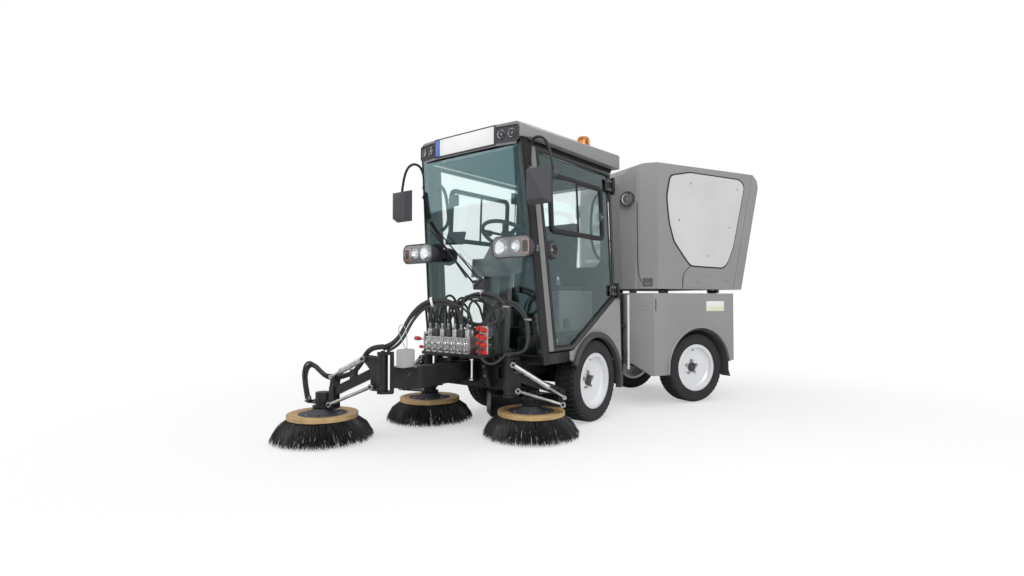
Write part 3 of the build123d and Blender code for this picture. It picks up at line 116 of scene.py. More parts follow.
@dataclass(frozen=True)
class Finish:
    """A surface finish as node values.

    Colours are linear. Scales are in repeats per metre and depths in metres.
    """

    name: str
    colour: tuple[float, float, float]
    rough: float = 0.45
    metal: float = 0.0
    pattern: Pattern = Pattern.GRAIN
    scale: float = 420.0
    depth: float = 0.00012
    patchy: float = 0.12
    patch_scale: float = 5.0
    coat: float = 0.0
    clear: float = 0.0
    glow: float = 0.0
    shine: float = 0.5
    shine_tint: tuple[float, float, float] = (1.0, 1.0, 1.0)

    def material(self) -> bpy.types.Material:
        """Returns the finish's material, made once."""
        found = bpy.data.materials.get(self.name)
        return found or self._make()

    def _make(self) -> bpy.types.Material:
        """Builds the node tree.

        Returns:
            The new material.
        """
        made = bpy.data.materials.new(self.name)
        made.use_nodes = True
        tree = made.node_tree
        shader = tree.nodes["Principled BSDF"]
        where = tree.nodes.new("ShaderNodeTexCoord").outputs["Object"]
        shader.inputs["Metallic"].default_value = self.metal
        shader.inputs["Coat Weight"].default_value = self.coat
        shader.inputs["Specular IOR Level"].default_value = self.shine
        shader.inputs["Specular Tint"].default_value = (*self.shine_tint, 1)
        shader.inputs["Coat Roughness"].default_value = 0.18
        shader.inputs["Transmission Weight"].default_value = self.clear
        patch = self._noise(tree, where, self.patch_scale, 4)
        tint = tree.nodes.new("ShaderNodeValToRGB")
        low, high = tint.color_ramp.elements
        low.position, high.position = 0.34, 0.68
        low.color = (*[c * (1 - self.patchy) for c in self.colour], 1)
        high.color = (*[min(1, c * (1 + self.patchy * 0.5)) for c in self.colour], 1)
        tree.links.new(patch, tint.inputs["Fac"])
        tree.links.new(tint.outputs["Color"], shader.inputs["Base Color"])
        spread = tree.nodes.new("ShaderNodeMapRange")
        spread.inputs["From Min"].default_value = 0.3
        spread.inputs["From Max"].default_value = 0.7
        spread.inputs["To Min"].default_value = max(0.0, self.rough - 0.05 - self.patchy * 0.3)
        spread.inputs["To Max"].default_value = min(1.0, self.rough + 0.05)
        tree.links.new(patch, spread.inputs["Value"])
        tree.links.new(spread.outputs["Result"], shader.inputs["Roughness"])
        if self.glow:
            shader.inputs["Emission Color"].default_value = (*self.colour, 1)
            shader.inputs["Emission Strength"].default_value = self.glow
        if self.depth:
            bump = tree.nodes.new("ShaderNodeBump")
            bump.inputs["Distance"].default_value = self.depth
            bump.inputs["Strength"].default_value = 0.6
            tree.links.new(self._height(tree, where), bump.inputs["Height"])
            tree.links.new(bump.outputs["Normal"], shader.inputs["Normal"])
        return made

    @staticmethod
    def _noise(
        tree: bpy.types.NodeTree, where: bpy.types.NodeSocket, scale: float, detail: float
    ) -> bpy.types.NodeSocket:
        """Adds a noise node.

        Args:
            tree: The material's nodes.
            where: The coordinates to read.
            scale: Repeats per metre.
            detail: How many octaves.

        Returns:
            The noise's value.
        """
        noise = tree.nodes.new("ShaderNodeTexNoise")
        noise.inputs["Scale"].default_value = scale
        noise.inputs["Detail"].default_value = detail
        tree.links.new(where, noise.inputs["Vector"])
        return noise.outputs["Fac"]

    def _height(self, tree: bpy.types.NodeTree, where: bpy.types.NodeSocket) -> bpy.types.NodeSocket:
        """Adds the nodes of the surface's relief.

        Args:
            tree: The material's nodes.
            where: The coordinates to read.

        Returns:
            The relief's height.
        """
        if self.pattern is Pattern.BRUSHED:
            stretch = tree.nodes.new("ShaderNodeMapping")
            stretch.inputs["Scale"].default_value = (0.04, 0.04, 1.0)
            tree.links.new(where, stretch.inputs["Vector"])
            return self._noise(tree, stretch.outputs["Vector"], self.scale, 3)
        if self.pattern is Pattern.WEAVE:
            waves = []
            for direction in ("X", "Z"):
                wave = tree.nodes.new("ShaderNodeTexWave")
                wave.bands_direction = direction
                wave.inputs["Scale"].default_value = self.scale
                wave.inputs["Distortion"].default_value = 0.6
                tree.links.new(where, wave.inputs["Vector"])
                waves.append(wave.outputs["Fac"])
            product = tree.nodes.new("ShaderNodeMath")
            product.operation = "MULTIPLY"
            for socket, wave in zip(product.inputs, waves):
                tree.links.new(wave, socket)
            return product.outputs["Value"]
        if self.pattern is Pattern.CAST:
            return self._noise(tree, where, self.scale, 8)
        return self._noise(tree, where, self.scale, 2)


BODY_PAINT = Finish(
    "body_paint", (0.27, 0.27, 0.262), 0.42, scale=260, depth=0.00006, patchy=0.05, patch_scale=2.2,
    coat=0.25
)
ROOF_PAINT = Finish(
    "roof_paint", (0.235, 0.236, 0.232), 0.46, scale=260, depth=0.00006, patchy=0.06, patch_scale=2.4,
    coat=0.2
)
FLARE_GREY = Finish(
    "flare_grey", (0.06, 0.061, 0.062), 0.5, scale=700, depth=0.0001, patchy=0.1, patch_scale=4, shine=0.3
)
DOOR_GREY = Finish(
    "door_grey", (0.085, 0.086, 0.085), 0.42, scale=260, depth=0.00006, patchy=0.06, patch_scale=3, coat=0.2
)
STILE_GREY = Finish(
    "stile_grey", (0.2, 0.2, 0.195), 0.45, scale=260, depth=0.00006, patchy=0.06, patch_scale=3, coat=0.2
)
BLACK_PAINT = Finish(
    "black_paint", (0.016, 0.0165, 0.017), 0.42, scale=520, depth=0.00008, patchy=0.3, patch_scale=9,
    shine=0.3
)
BLACK_PLASTIC = Finish(
    "black_plastic", (0.02, 0.0205, 0.021), 0.55, scale=900, depth=0.0001, patchy=0.25, patch_scale=7,
    shine=0.3
)
DARK_PLASTIC = Finish(
    "dark_plastic", (0.045, 0.047, 0.05), 0.6, scale=900, depth=0.0001, patchy=0.18, shine=0.3
)
RUBBER = Finish(
    "rubber", (0.017, 0.017, 0.018), 0.7, scale=600, depth=0.0001, patchy=0.3, patch_scale=14, shine=0.3
)
TYRE_RUBBER = Finish(
    "tyre_rubber", (0.03, 0.03, 0.031), 0.78, pattern=Pattern.DUSTY, scale=340, depth=0.00025, patchy=0.25,
    shine=0.3
)
RIM_SILVER = Finish(
    "rim_silver", (0.60, 0.61, 0.61), 0.38, 0.35, scale=500, depth=0.00005, patchy=0.08, patch_scale=6
)
PANEL_SILVER = Finish(
    "panel_silver", (0.66, 0.66, 0.655), 0.36, 0.25, Pattern.BRUSHED, 900, 0.00004, 0.05, 3
)
ZINC = Finish("zinc", (0.42, 0.42, 0.41), 0.36, 0.9, scale=700, depth=0.00006, patchy=0.25, patch_scale=20)
CHROME = Finish(
    "chrome", (0.75, 0.76, 0.77), 0.12, 1.0, scale=700, depth=0.00001, patchy=0.08, patch_scale=12
)
ALUMINIUM = Finish(
    "aluminium", (0.55, 0.55, 0.54), 0.42, 0.85, scale=650, depth=0.00012, patchy=0.18, patch_scale=18
)
CAST_IRON = Finish(
    "cast_iron", (0.03, 0.03, 0.032), 0.6, 0.3, Pattern.CAST, 160, 0.0004, 0.25, 8, shine=0.3
)
RED_PLASTIC = Finish(
    "red_plastic", (0.52, 0.02, 0.015), 0.4, scale=600, depth=0.00006, patchy=0.15, patch_scale=20
)
RING_TAN = Finish(
    "ring_tan", (0.50, 0.33, 0.15), 0.62, pattern=Pattern.BRUSHED, scale=300, depth=0.0002, patchy=0.22,
    patch_scale=16
)
BRISTLE = Finish(
    "bristle", (0.03, 0.03, 0.033), 0.48, scale=300, depth=0.0, patchy=0.5, patch_scale=60, shine=0.3
)
SEAT_CLOTH = Finish(
    "seat_cloth", (0.03, 0.032, 0.035), 0.9, pattern=Pattern.WEAVE, scale=160, depth=0.0004, patchy=0.25,
    shine=0.3
)
AMBER_LENS = Finish("amber_lens", (0.95, 0.33, 0.02), 0.15, scale=200, depth=0.0001, patchy=0.1, clear=0.75)
ORANGE_LENS = Finish("orange_lens", (0.9, 0.25, 0.03), 0.2, scale=240, depth=0.0001, patchy=0.1, clear=0.5)
RED_LENS = Finish("red_lens", (0.5, 0.01, 0.01), 0.2, scale=240, depth=0.0001, patchy=0.1, clear=0.3)
CLEAR_LENS = Finish("clear_lens", (0.94, 0.96, 0.97), 0.04, scale=60, depth=0.00008, patchy=0.01, clear=1.0)
REFLECTOR = Finish(
    "reflector", (0.82, 0.83, 0.84), 0.16, 1.0, scale=150, depth=0.0005, patchy=0.1, patch_scale=30
)
MIRROR_GLASS = Finish("mirror_glass", (0.75, 0.78, 0.8), 0.03, 1.0, scale=40, depth=0.00001, patchy=0.02)
CAB_GLASS = Finish(
    "cab_glass_tint", (0.88, 0.95, 0.945), 0.015, scale=20, depth=0.0, patchy=0.02, patch_scale=2,
    clear=1.0, shine=0.3, shine_tint=(0.55, 0.95, 1.0)
)
CASE_GREY = Finish("case_grey", (0.46, 0.47, 0.46), 0.35, scale=300, depth=0.00005, patchy=0.06, clear=0.25)
COLUMN_GREY = Finish("column_grey", (0.24, 0.235, 0.25), 0.5, scale=700, depth=0.0001, patchy=0.08)
CABIN_GREY = Finish(
    "cabin_grey", (0.022, 0.028, 0.03), 0.85, scale=700, depth=0.0001, patchy=0.15, shine=0.12
)
GASKET = Finish(
    "gasket", (0.022, 0.022, 0.023), 0.62, scale=800, depth=0.0001, patchy=0.2, patch_scale=12, shine=0.3
)
PLATE_WHITE = Finish(
    "plate_white", (0.78, 0.78, 0.77), 0.35, scale=350, depth=0.00004, patchy=0.05, patch_scale=8, coat=0.3
)
PLATE_BLUE = Finish("plate_blue", (0.03, 0.09, 0.42), 0.35, scale=350, depth=0.00004, patchy=0.08, coat=0.3)
LABEL_PALE = Finish(
    "label_pale", (0.72, 0.71, 0.52), 0.4, scale=350, depth=0.00003, patchy=0.06, patch_scale=10
)


# Modelling by hand


def start(add: Callable[..., set], **options: object) -> Piece:
    """Adds a primitive with nothing else selected.

    Args:
        add: The operator that adds it.
        **options: Its size and place.

    Returns:
        The new piece, with its place in its mesh.
    """
    bpy.ops.object.select_all(action="DESELECT")
    add(**options)
    bpy.ops.object.transform_apply(location=True, rotation=True, scale=True)
    return bpy.context.object


def block(low: Point, high: Point) -> Piece:
    """A block between two corners, as a start for further shaping.

    Args:
        low: The lowest corner.
        high: The highest corner.

    Returns:
        The block.
    """
    low, high = Vector(low), Vector(high)
    return start(bpy.ops.mesh.primitive_cube_add, size=1, location=(low + high) / 2, scale=high - low)


def rod(
    first: Point, last: Point, radius: float, sides: int = 24, last_radius: float | None = None
) -> Piece:
    """A round bar or a taper from one point to another.

    Args:
        first: Its start.
        last: Its end.
        radius: Its radius at the start.
        sides: How many sides it has.
        last_radius: Its radius at the end, if it tapers.

    Returns:
        The bar.
    """
    first, last = Vector(first), Vector(last)
    run = last - first
    return start(
        bpy.ops.mesh.primitive_cone_add, vertices=sides, radius1=radius,
        radius2=radius if last_radius is None else last_radius, depth=run.length,
        location=(first + last) / 2, rotation=run.to_track_quat("Z", "Y").to_euler()
    )


class Bench:
    """An edit-mode session on one piece."""

    def __init__(self, piece: Piece) -> None:
        """Opens the piece.

        Args:
            piece: The piece to shape.
        """
        self.piece = piece

    def __enter__(self) -> "Bench":
        """Enters edit mode with all of the piece selected."""
        bpy.ops.object.select_all(action="DESELECT")
        self.piece.select_set(True)
        bpy.context.view_layer.objects.active = self.piece
        bpy.ops.object.mode_set(mode="EDIT")
        bpy.ops.mesh.select_mode(type="VERT")
        self.all()
        return self

    def __exit__(self, *problem: object) -> None:
        """Leaves edit mode."""
        bpy.ops.object.mode_set(mode="OBJECT")

    @staticmethod
    def all() -> None:
        """Selects everything."""
        bpy.ops.mesh.select_all(action="SELECT")

    def faces(self, test: Callable[[Vector, Vector], bool]) -> int:
        """Selects faces by place.

        Args:
            test: Takes a face's middle and normal.

        Returns:
            How many were selected.
        """
        return self._pick("FACE", self.piece.data.polygons, lambda f: test(f.center, f.normal))

    def edges(self, test: Callable[[Vector, Vector], bool]) -> int:
        """Selects edges by place.

        Args:
            test: Takes an edge's two ends.

        Returns:
            How many were selected.
        """
        points = self.piece.data.vertices
        return self._pick(
            "EDGE", self.piece.data.edges,
            lambda e: test(points[e.vertices[0]].co, points[e.vertices[1]].co)
        )

    def points(self, test: Callable[[Vector], bool]) -> int:
        """Selects points by place.

        Args:
            test: Takes a point.

        Returns:
            How many were selected.
        """
        return self._pick("VERT", self.piece.data.vertices, lambda v: test(v.co))

    def _pick(self, kind: str, items: Iterable, test: Callable[[object], bool]) -> int:
        """Selects what passes a test.

        Args:
            kind: What is selected: VERT, EDGE or FACE.
            items: The mesh's items of that kind.
            test: Takes one item.

        Returns:
            How many passed.
        """
        bpy.ops.mesh.select_mode(type=kind)
        bpy.ops.mesh.select_all(action="DESELECT")
        bpy.ops.object.mode_set(mode="OBJECT")
        count = 0
        for item in items:
            item.select = bool(test(item))
            count += item.select
        bpy.ops.object.mode_set(mode="EDIT")
        return count

    @staticmethod
    def move(offset: Point) -> None:
        """Moves the selection."""
        bpy.ops.transform.translate(value=offset)

    @staticmethod
    def resize(factors: Point, centre: Point) -> None:
        """Scales the selection about a point."""
        bpy.ops.transform.resize(value=factors, center_override=centre)

    @staticmethod
    def extrude(offset: Point) -> None:
        """Extrudes the selection by an offset."""
        bpy.ops.mesh.extrude_region_move(TRANSFORM_OT_translate={"value": offset})

    @staticmethod
    def inset(width: float, depth: float = 0.0) -> None:
        """Insets the selected faces, and moves them in by a negative depth."""
        bpy.ops.mesh.inset(thickness=width, depth=depth, use_even_offset=True)

    @staticmethod
    def bevel(width: float, steps: int = 3) -> None:
        """Rounds the selected edges."""
        bpy.ops.mesh.bevel(offset=width, segments=steps, affect="EDGES", clamp_overlap=True)

    @staticmethod
    def cut(at: Point, normal: Point, fill: bool = True) -> None:
        """Cuts off what lies on the normal's side of a plane."""
        bpy.ops.mesh.select_all(action="SELECT")
        bpy.ops.mesh.bisect(plane_co=at, plane_no=normal, clear_outer=True, use_fill=fill)

    @staticmethod
    def tidy(gap: float = 0.01) -> None:
        """Merges doubled points and turns all faces outwards."""
        bpy.ops.mesh.select_all(action="SELECT")
        bpy.ops.mesh.remove_doubles(threshold=gap)
        bpy.ops.mesh.normals_make_consistent(inside=False)


def facing(way: Point) -> Callable[[Vector, Vector], bool]:
    """A test that passes the faces that look one way."""
    return lambda middle, normal: normal.dot(Vector(way)) > 0.9


FACES_UP = facing((0, 0, 1))
FACES_DOWN = facing((0, 0, -1))
FACES_FRONT = facing((0, -1, 0))
FACES_REAR = facing((0, 1, 0))
FACES_LEFT = facing((1, 0, 0))


def eased(piece: Piece, test: Callable[[Vector, Vector], bool], width: float, steps: int = 3) -> None:
    """Rounds those edges of a piece that pass a test of their two ends."""
    with Bench(piece) as bench:
        bench.edges(test)
        bench.bevel(width, steps)


def drawn(points: Sequence[Point], close: bool = True) -> Piece:
    """Draws a line: one point, extruded from place to place.

    Args:
        points: The line's corners.
        close: Whether it is closed and filled.

    Returns:
        The line or face.
    """
    line = [Vector(p) for p in points]
    piece = start(bpy.ops.mesh.primitive_plane_add, size=1, location=line[0])
    with Bench(piece):
        bpy.ops.mesh.merge(type="CENTER")
        for here, there in zip(line, line[1:]):
            Bench.extrude(there - here)
        if close:
            Bench.all()
            bpy.ops.mesh.edge_face_add()
    return piece


def slab(points: Sequence[Point], thickness: Point) -> Piece:
    """A flat outline raised by an offset.

    Args:
        points: The outline's corners in space.
        thickness: The offset from the outline to the other face.

    Returns:
        The slab.
    """
    piece = drawn(points)
    with Bench(piece) as bench:
        bench.all()
        bench.extrude(thickness)
        bench.tidy()
    return piece


def turned(profile: Sequence[tuple[float, float]], centre: Point, axis: Vector, steps: int = 48) -> Piece:
    """A profile spun once round an axis.

    Args:
        profile: Its points, as distance along the axis and radius.
        centre: Where the axis has distance 0.
        axis: The axis.
        steps: How many steps the turn has.

    Returns:
        The turned piece.
    """
    centre, axis = Vector(centre), Vector(axis).normalized()
    out = axis.orthogonal().normalized()
    piece = drawn([centre + axis * along + out * radius for along, radius in profile], close=False)
    with Bench(piece) as bench:
        bench.all()
        bpy.ops.mesh.spin(steps=steps, angle=math.tau, center=centre, axis=axis, dupli=False)
        bench.tidy()
    return piece


def tube(
    points: Sequence[Point], radius: float, smooth: bool = True, around: int = 5, along: int = 6
) -> Piece:
    """A hose, rail or pipe that follows points.

    Args:
        points: The points it follows.
        radius: Its radius.
        smooth: Whether it runs as one smooth curve; if not, it has the corners given.
        around: Half the sides of its section, less one.
        along: Steps for each point.

    Returns:
        The tube as a mesh.
    """
    curve = bpy.data.curves.new("tube", "CURVE")
    curve.dimensions = "3D"
    spline = curve.splines.new("NURBS" if smooth else "POLY")
    spline.points.add(len(points) - 1)
    for held, point in zip(spline.points, points):
        held.co = (*point, 1)
    if smooth:
        spline.order_u = min(3, len(points))
        spline.use_endpoint_u = True
        curve.resolution_u = along
    curve.bevel_depth = radius
    curve.bevel_resolution = around - 1
    curve.use_fill_caps = True
    piece = bpy.data.objects.new("tube", curve)
    bpy.context.collection.objects.link(piece)
    bpy.ops.object.select_all(action="DESELECT")
    piece.select_set(True)
    bpy.context.view_layer.objects.active = piece
    bpy.ops.object.convert(target="MESH")
    return bpy.context.object


def hose(line: Sequence[Point], radius: float, around: int = 4) -> Piece:
    """A round hose that runs smoothly through its corners."""
    return tube(line, radius, True, around, 8)


def modified(piece: Piece, kind: str, **options: object) -> Piece:
    """Adds a modifier and applies it.

    Args:
        piece: The piece.
        kind: The modifier's type.
        **options: Its settings.

    Returns:
        The same piece.
    """
    modifier = piece.modifiers.new(kind, kind)
    for name, value in options.items():
        setattr(modifier, name, value)
    bpy.ops.object.select_all(action="DESELECT")
    piece.select_set(True)
    bpy.context.view_layer.objects.active = piece
    bpy.ops.object.modifier_apply(modifier=modifier.name)
    return piece


def rounded(piece: Piece, width: float, steps: int = 2, angle: float = 32.0) -> Piece:
    """Rounds a piece's sharp edges.

    Args:
        piece: The piece.
        width: How wide.
        steps: In how many facets.
        angle: Edges that turn by more than this are rounded.

    Returns:
        The same piece.
    """
    return modified(
        piece, "BEVEL", width=width, segments=steps, limit_method="ANGLE", angle_limit=math.radians(angle)
    )


def painted(piece: Piece, finish: Finish) -> Piece:
    """Gives a piece one finish and returns it."""
    piece.data.materials.clear()
    piece.data.materials.append(finish.material())
    return piece


def box(low: Point, high: Point, width: float, finish: Finish, steps: int = 2) -> Piece:
    """A block with rounded edges and a finish."""
    return painted(rounded(block(low, high), width, steps), finish)


def joined(pieces: Sequence[Piece]) -> Piece:
    """Joins pieces into the first one and returns it."""
    bpy.ops.object.select_all(action="DESELECT")
    for piece in pieces:
        piece.select_set(True)
    bpy.context.view_layer.objects.active = pieces[0]
    if len(pieces) > 1:
        bpy.ops.object.join()
    return pieces[0]


def copied(piece: Piece, places: Iterable[Matrix], keep: bool = False) -> list[Piece]:
    """Copies a piece, each copy with its own mesh.

    Args:
        piece: What is copied.
        places: Where each copy goes.
        keep: Whether the first piece stays.

    Returns:
        The copies.
    """
    made = []
    for place in places:
        twin = piece.copy()
        twin.data = piece.data.copy()
        twin.data.transform(place)
        if place.determinant() < 0:
            twin.data.flip_normals()
        bpy.context.collection.objects.link(twin)
        made.append(twin)
    if not keep:
        bpy.data.objects.remove(piece)
    return made


def both_sides(piece: Piece) -> Piece:
    """Adds a piece's mirror image on the other side of the middle and returns the pair."""
    return joined([piece, *copied(piece, [Matrix.Scale(-1, 4, (1, 0, 0))], keep=True)])


def softened(node: str, home: Matrix, width: float, steps: int = 2, angle: float = 32.0) -> Piece:
    """Copies a CAD node and rounds the copy's sharp edges.

    Args:
        node: The CAD node.
        home: Where its half of the machine stands.
        width: How wide, in millimetres.
        steps: In how many facets.
        angle: Edges that turn by more than this are rounded.

    Returns:
        The copy, in the vehicle's millimetres.
    """
    twin = frame["nodes"][node].copy()
    twin.data = twin.data.copy()
    twin.parent = None
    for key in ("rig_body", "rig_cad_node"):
        del twin[key]
    bpy.context.collection.objects.link(twin)
    twin.data.transform(home.inverted())
    with Bench(twin) as bench:
        bench.all()
        bpy.ops.mesh.remove_doubles(threshold=0.01)
        bpy.ops.mesh.dissolve_limited(angle_limit=math.radians(0.6))
    return rounded(twin, width, steps, angle)


@dataclass
class Delivery:
    """Where a sub-assembly's pieces go."""

    body: str
    place: Matrix

    def hand_over(
        self, piece: Piece, name: str, finish: Finish | None = None, replaces: Sequence[str] = (),
        angle: float = 32.0, place: Matrix | None = None,
        bends: tuple[str, str, Point, Point] | None = None
    ) -> Piece:
        """Places, names and dresses a finished piece, and lets it ride on its body unless bends are given.

        Args:
            piece: The piece, in millimetres.
            name: Its name.
            finish: Its finish, if it has none yet.
            replaces: The CAD nodes that it stands for.
            angle: Edges that turn by less than this look smooth.
            place: Where it goes, if not where the sub-assembly does.
            bends: Two bodies and points, in millimetres, not used; if given, it stays in place on no body.

        Returns:
            The piece.
        """
        piece.name = name
        piece.data.name = name
        piece.data.transform(self.place if place is None else place)
        if finish is not None:
            painted(piece, finish)
        bpy.ops.object.select_all(action="DESELECT")
        piece.select_set(True)
        bpy.context.view_layer.objects.active = piece
        bpy.ops.object.shade_smooth_by_angle(angle=math.radians(angle))
        if bends:
            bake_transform(piece)
        else:
            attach(piece, self.body)
        if replaces:
            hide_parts(*replaces)
        log.info("%s on %s, %d faces", name, self.body, len(piece.data.polygons))
        return piece


METRES = Matrix.Identity(4)
ON_CAB = Delivery("cab", CAB)
ON_REAR = Delivery("rear_module", REAR)
ON_BOOM = Delivery("boom", CAB)
ON_HOPPER = Delivery("hopper", REAR)
ON_HOPPER_DOOR = Delivery("hopper_door", REAR)


@dataclass(frozen=True)
class Bolt:
    """A hexagon bolt head on its washer."""

    radius: float = 7.0
    height: float = 5.0

    def at(self, places: Sequence[tuple[Point, Point]]) -> Piece:
        """Makes bolts.

        Args:
            places: Each bolt's foot and the way it points.

        Returns:
            All of them as one piece.
        """
        head = rod((0, 0, 1.2), (0, 0, 1.2 + self.height), self.radius, 6, self.radius * 0.94)
        washer = rod((0, 0, 0), (0, 0, 1.6), self.radius * 1.35, 16)
        pair = joined([head, washer])
        spots = [
            Matrix.Translation(Vector(foot)) @ Vector(way).to_track_quat("Z", "Y").to_matrix().to_4x4()
            for foot, way in places
        ]
        return painted(joined(copied(pair, spots)), ZINC)


# Studio


@dataclass
class Studio:
    """The floor, the light and the camera at the photograph's viewing angle."""

    camera_place: tuple[float, float, float] = (2.407, -3.734, 0.856)
    azimuth_deg: float = 38.60
    elevation_deg: float = -1.29
    lens_mm: float = 19.758
    floor_size: float = 60.0

    def build(self) -> None:
        """Makes the whole studio."""
        bpy.context.scene.view_settings.view_transform = "Standard"
        self._camera()
        self._floor()
        self._world()
        self._lamps()

    def _camera(self) -> None:
        """Sets the camera as solved from the photograph."""
        data = bpy.data.cameras.new("camera")
        data.lens, data.sensor_width = self.lens_mm, 36.0
        data.clip_end = 200
        camera = bpy.data.objects.new("camera", data)
        a, e = math.radians(self.azimuth_deg), math.radians(self.elevation_deg)
        back = Vector((math.sin(a) * math.cos(e), -math.cos(a) * math.cos(e), math.sin(e)))
        camera.rotation_mode = "QUATERNION"
        camera.location = self.camera_place
        camera.rotation_quaternion = (-back).to_track_quat("-Z", "Y")
        bpy.context.scene.collection.objects.link(camera)
        bpy.context.scene.camera = camera

    def _seen(self, tree: bpy.types.NodeTree) -> bpy.types.NodeSocket:
        """Adds the test for rays that end in the picture.

        Args:
            tree: The nodes.

        Returns:
            1 for camera and transmission rays.
        """
        path = tree.nodes.new("ShaderNodeLightPath")
        larger = tree.nodes.new("ShaderNodeMath")
        larger.operation = "MAXIMUM"
        tree.links.new(path.outputs["Is Camera Ray"], larger.inputs[0])
        tree.links.new(path.outputs["Is Transmission Ray"], larger.inputs[1])
        return larger.outputs["Value"]

    def _floor(self) -> None:
        """Makes the pale floor, which keeps a soft shadow."""
        floor = start(bpy.ops.mesh.primitive_plane_add, size=self.floor_size, location=(0, 0, 0))
        floor.name = "studio_floor"
        material = bpy.data.materials.new("studio_floor")
        material.use_nodes = True
        tree = material.node_tree
        lit = tree.nodes["Principled BSDF"]
        lit.inputs["Base Color"].default_value = (0.86, 0.86, 0.86, 1)
        lit.inputs["Roughness"].default_value = 0.85
        lit.inputs["Specular IOR Level"].default_value = 0.1
        glow = tree.nodes.new("ShaderNodeEmission")
        glow.inputs["Color"].default_value = (1, 1, 1, 1)
        glow.inputs["Strength"].default_value = 1.0
        share = tree.nodes.new("ShaderNodeMath")
        share.operation = "MULTIPLY"
        place = tree.nodes.new("ShaderNodeTexCoord")
        away = tree.nodes.new("ShaderNodeVectorMath")
        away.operation = "LENGTH"
        tree.links.new(place.outputs["Object"], away.inputs[0])
        fade = tree.nodes.new("ShaderNodeMapRange")
        fade.interpolation_type = "SMOOTHSTEP"
        for key, value in (("From Min", 1.6), ("From Max", 4.2), ("To Min", 0.46), ("To Max", 1.0)):
            fade.inputs[key].default_value = value
        tree.links.new(away.outputs["Value"], fade.inputs["Value"])
        tree.links.new(self._seen(tree), share.inputs[0])
        tree.links.new(fade.outputs["Result"], share.inputs[1])
        mix = tree.nodes.new("ShaderNodeMixShader")
        tree.links.new(share.outputs["Value"], mix.inputs["Fac"])
        tree.links.new(lit.outputs["BSDF"], mix.inputs[1])
        tree.links.new(glow.outputs["Emission"], mix.inputs[2])
        tree.links.new(mix.outputs["Shader"], tree.nodes["Material Output"].inputs["Surface"])
        floor.data.materials.append(material)

    def _world(self) -> None:
        """Makes the plain light round the object and the white background."""
        world = bpy.data.worlds.new("studio")
        bpy.context.scene.world = world
        world.use_nodes = True
        tree = world.node_tree
        around = tree.nodes["Background"]
        around.inputs["Color"].default_value = (0.97, 0.98, 1.0, 1)
        around.inputs["Strength"].default_value = 0.62
        white = tree.nodes.new("ShaderNodeBackground")
        white.inputs["Color"].default_value = (1, 1, 1, 1)
        white.inputs["Strength"].default_value = 1.0
        mix = tree.nodes.new("ShaderNodeMixShader")
        tree.links.new(self._seen(tree), mix.inputs["Fac"])
        tree.links.new(around.outputs["Background"], mix.inputs[1])
        tree.links.new(white.outputs["Background"], mix.inputs[2])
        tree.links.new(mix.outputs["Shader"], tree.nodes["World Output"].inputs["Surface"])

    def _lamps(self) -> None:
        """Adds the large soft lamps."""
        for name, place, size, power in (
            ("key", (4.5, -4.0, 5.0), 4.0, 230.0), ("fill", (-4.5, -5.0, 3.5), 4.0, 90.0),
            ("top", (0.5, 1.0, 6.0), 5.0, 120.0)
        ):
            data = bpy.data.lights.new(name, "AREA")
            data.size, data.energy = size, power
            lamp = bpy.data.objects.new(name, data)
            lamp.location = place
            lamp.rotation_euler = (Vector(place) - Vector((0, 0, 0.8))).to_track_quat("Z", "Y").to_euler()
            bpy.context.scene.collection.objects.link(lamp)


# Finishes of the CAD nodes that show as they are


@dataclass(frozen=True)
class CadFinishes:
    """Which finish each CAD node takes."""

    table: tuple[tuple[Finish, tuple[str, ...]], ...] = (
        (
            BLACK_PAINT,
            (
                "front_chassis", "front_axle", "suction_mouth", "suction_duct", "suction_duct_sides",
                "lift_frame", "cab_frame", "rear_frame", "rear_axle", "boom", "left_arm", "right_arm",
                "third_arm", "left_head", "right_head", "third_head", "left_bracket", "right_bracket",
                "third_bracket"
            )
        ),
        (DARK_PLASTIC, ("dashboard", "steering_wheel", "seat")),
        (BLACK_PLASTIC, ("front_flares", "mirrors")),
        (BODY_PAINT, ("side_panels", "door_left", "door_right", "rear_body", "hopper", "hopper_door")),
        (ROOF_PAINT, ("roof",)), (CAB_GLASS, ("cab_glass", "door_left_glass", "door_right_glass")),
        (PANEL_SILVER, ("hopper_panels",)),
        (RIM_SILVER, ("front_left_rim", "front_right_rim", "rear_left_rim", "rear_right_rim")),
        (TYRE_RUBBER, ("front_left_tyre", "front_right_tyre", "rear_left_tyre", "rear_right_tyre")),
        (RUBBER, ("front_hoses", "suction_pipe")), (CAST_IRON, ("engine",)), (ALUMINIUM, ("manifold",)),
        (
            ZINC,
            ("left_link", "right_link", "third_link", "left_cylinder", "right_cylinder", "third_cylinder")
        ),
        (BRISTLE, ("left_brush", "right_brush", "third_brush")), (AMBER_LENS, ("beacon",)),
        (RED_LENS, ("rear_lamps",)), (BLACK_PLASTIC, ("lamps",)),
    )

    def dress(self) -> None:
        """Puts each finish into its nodes' material slots."""
        for finish, nodes in self.table:
            for node in nodes:
                painted(frame["nodes"][node], finish)


# Wheels


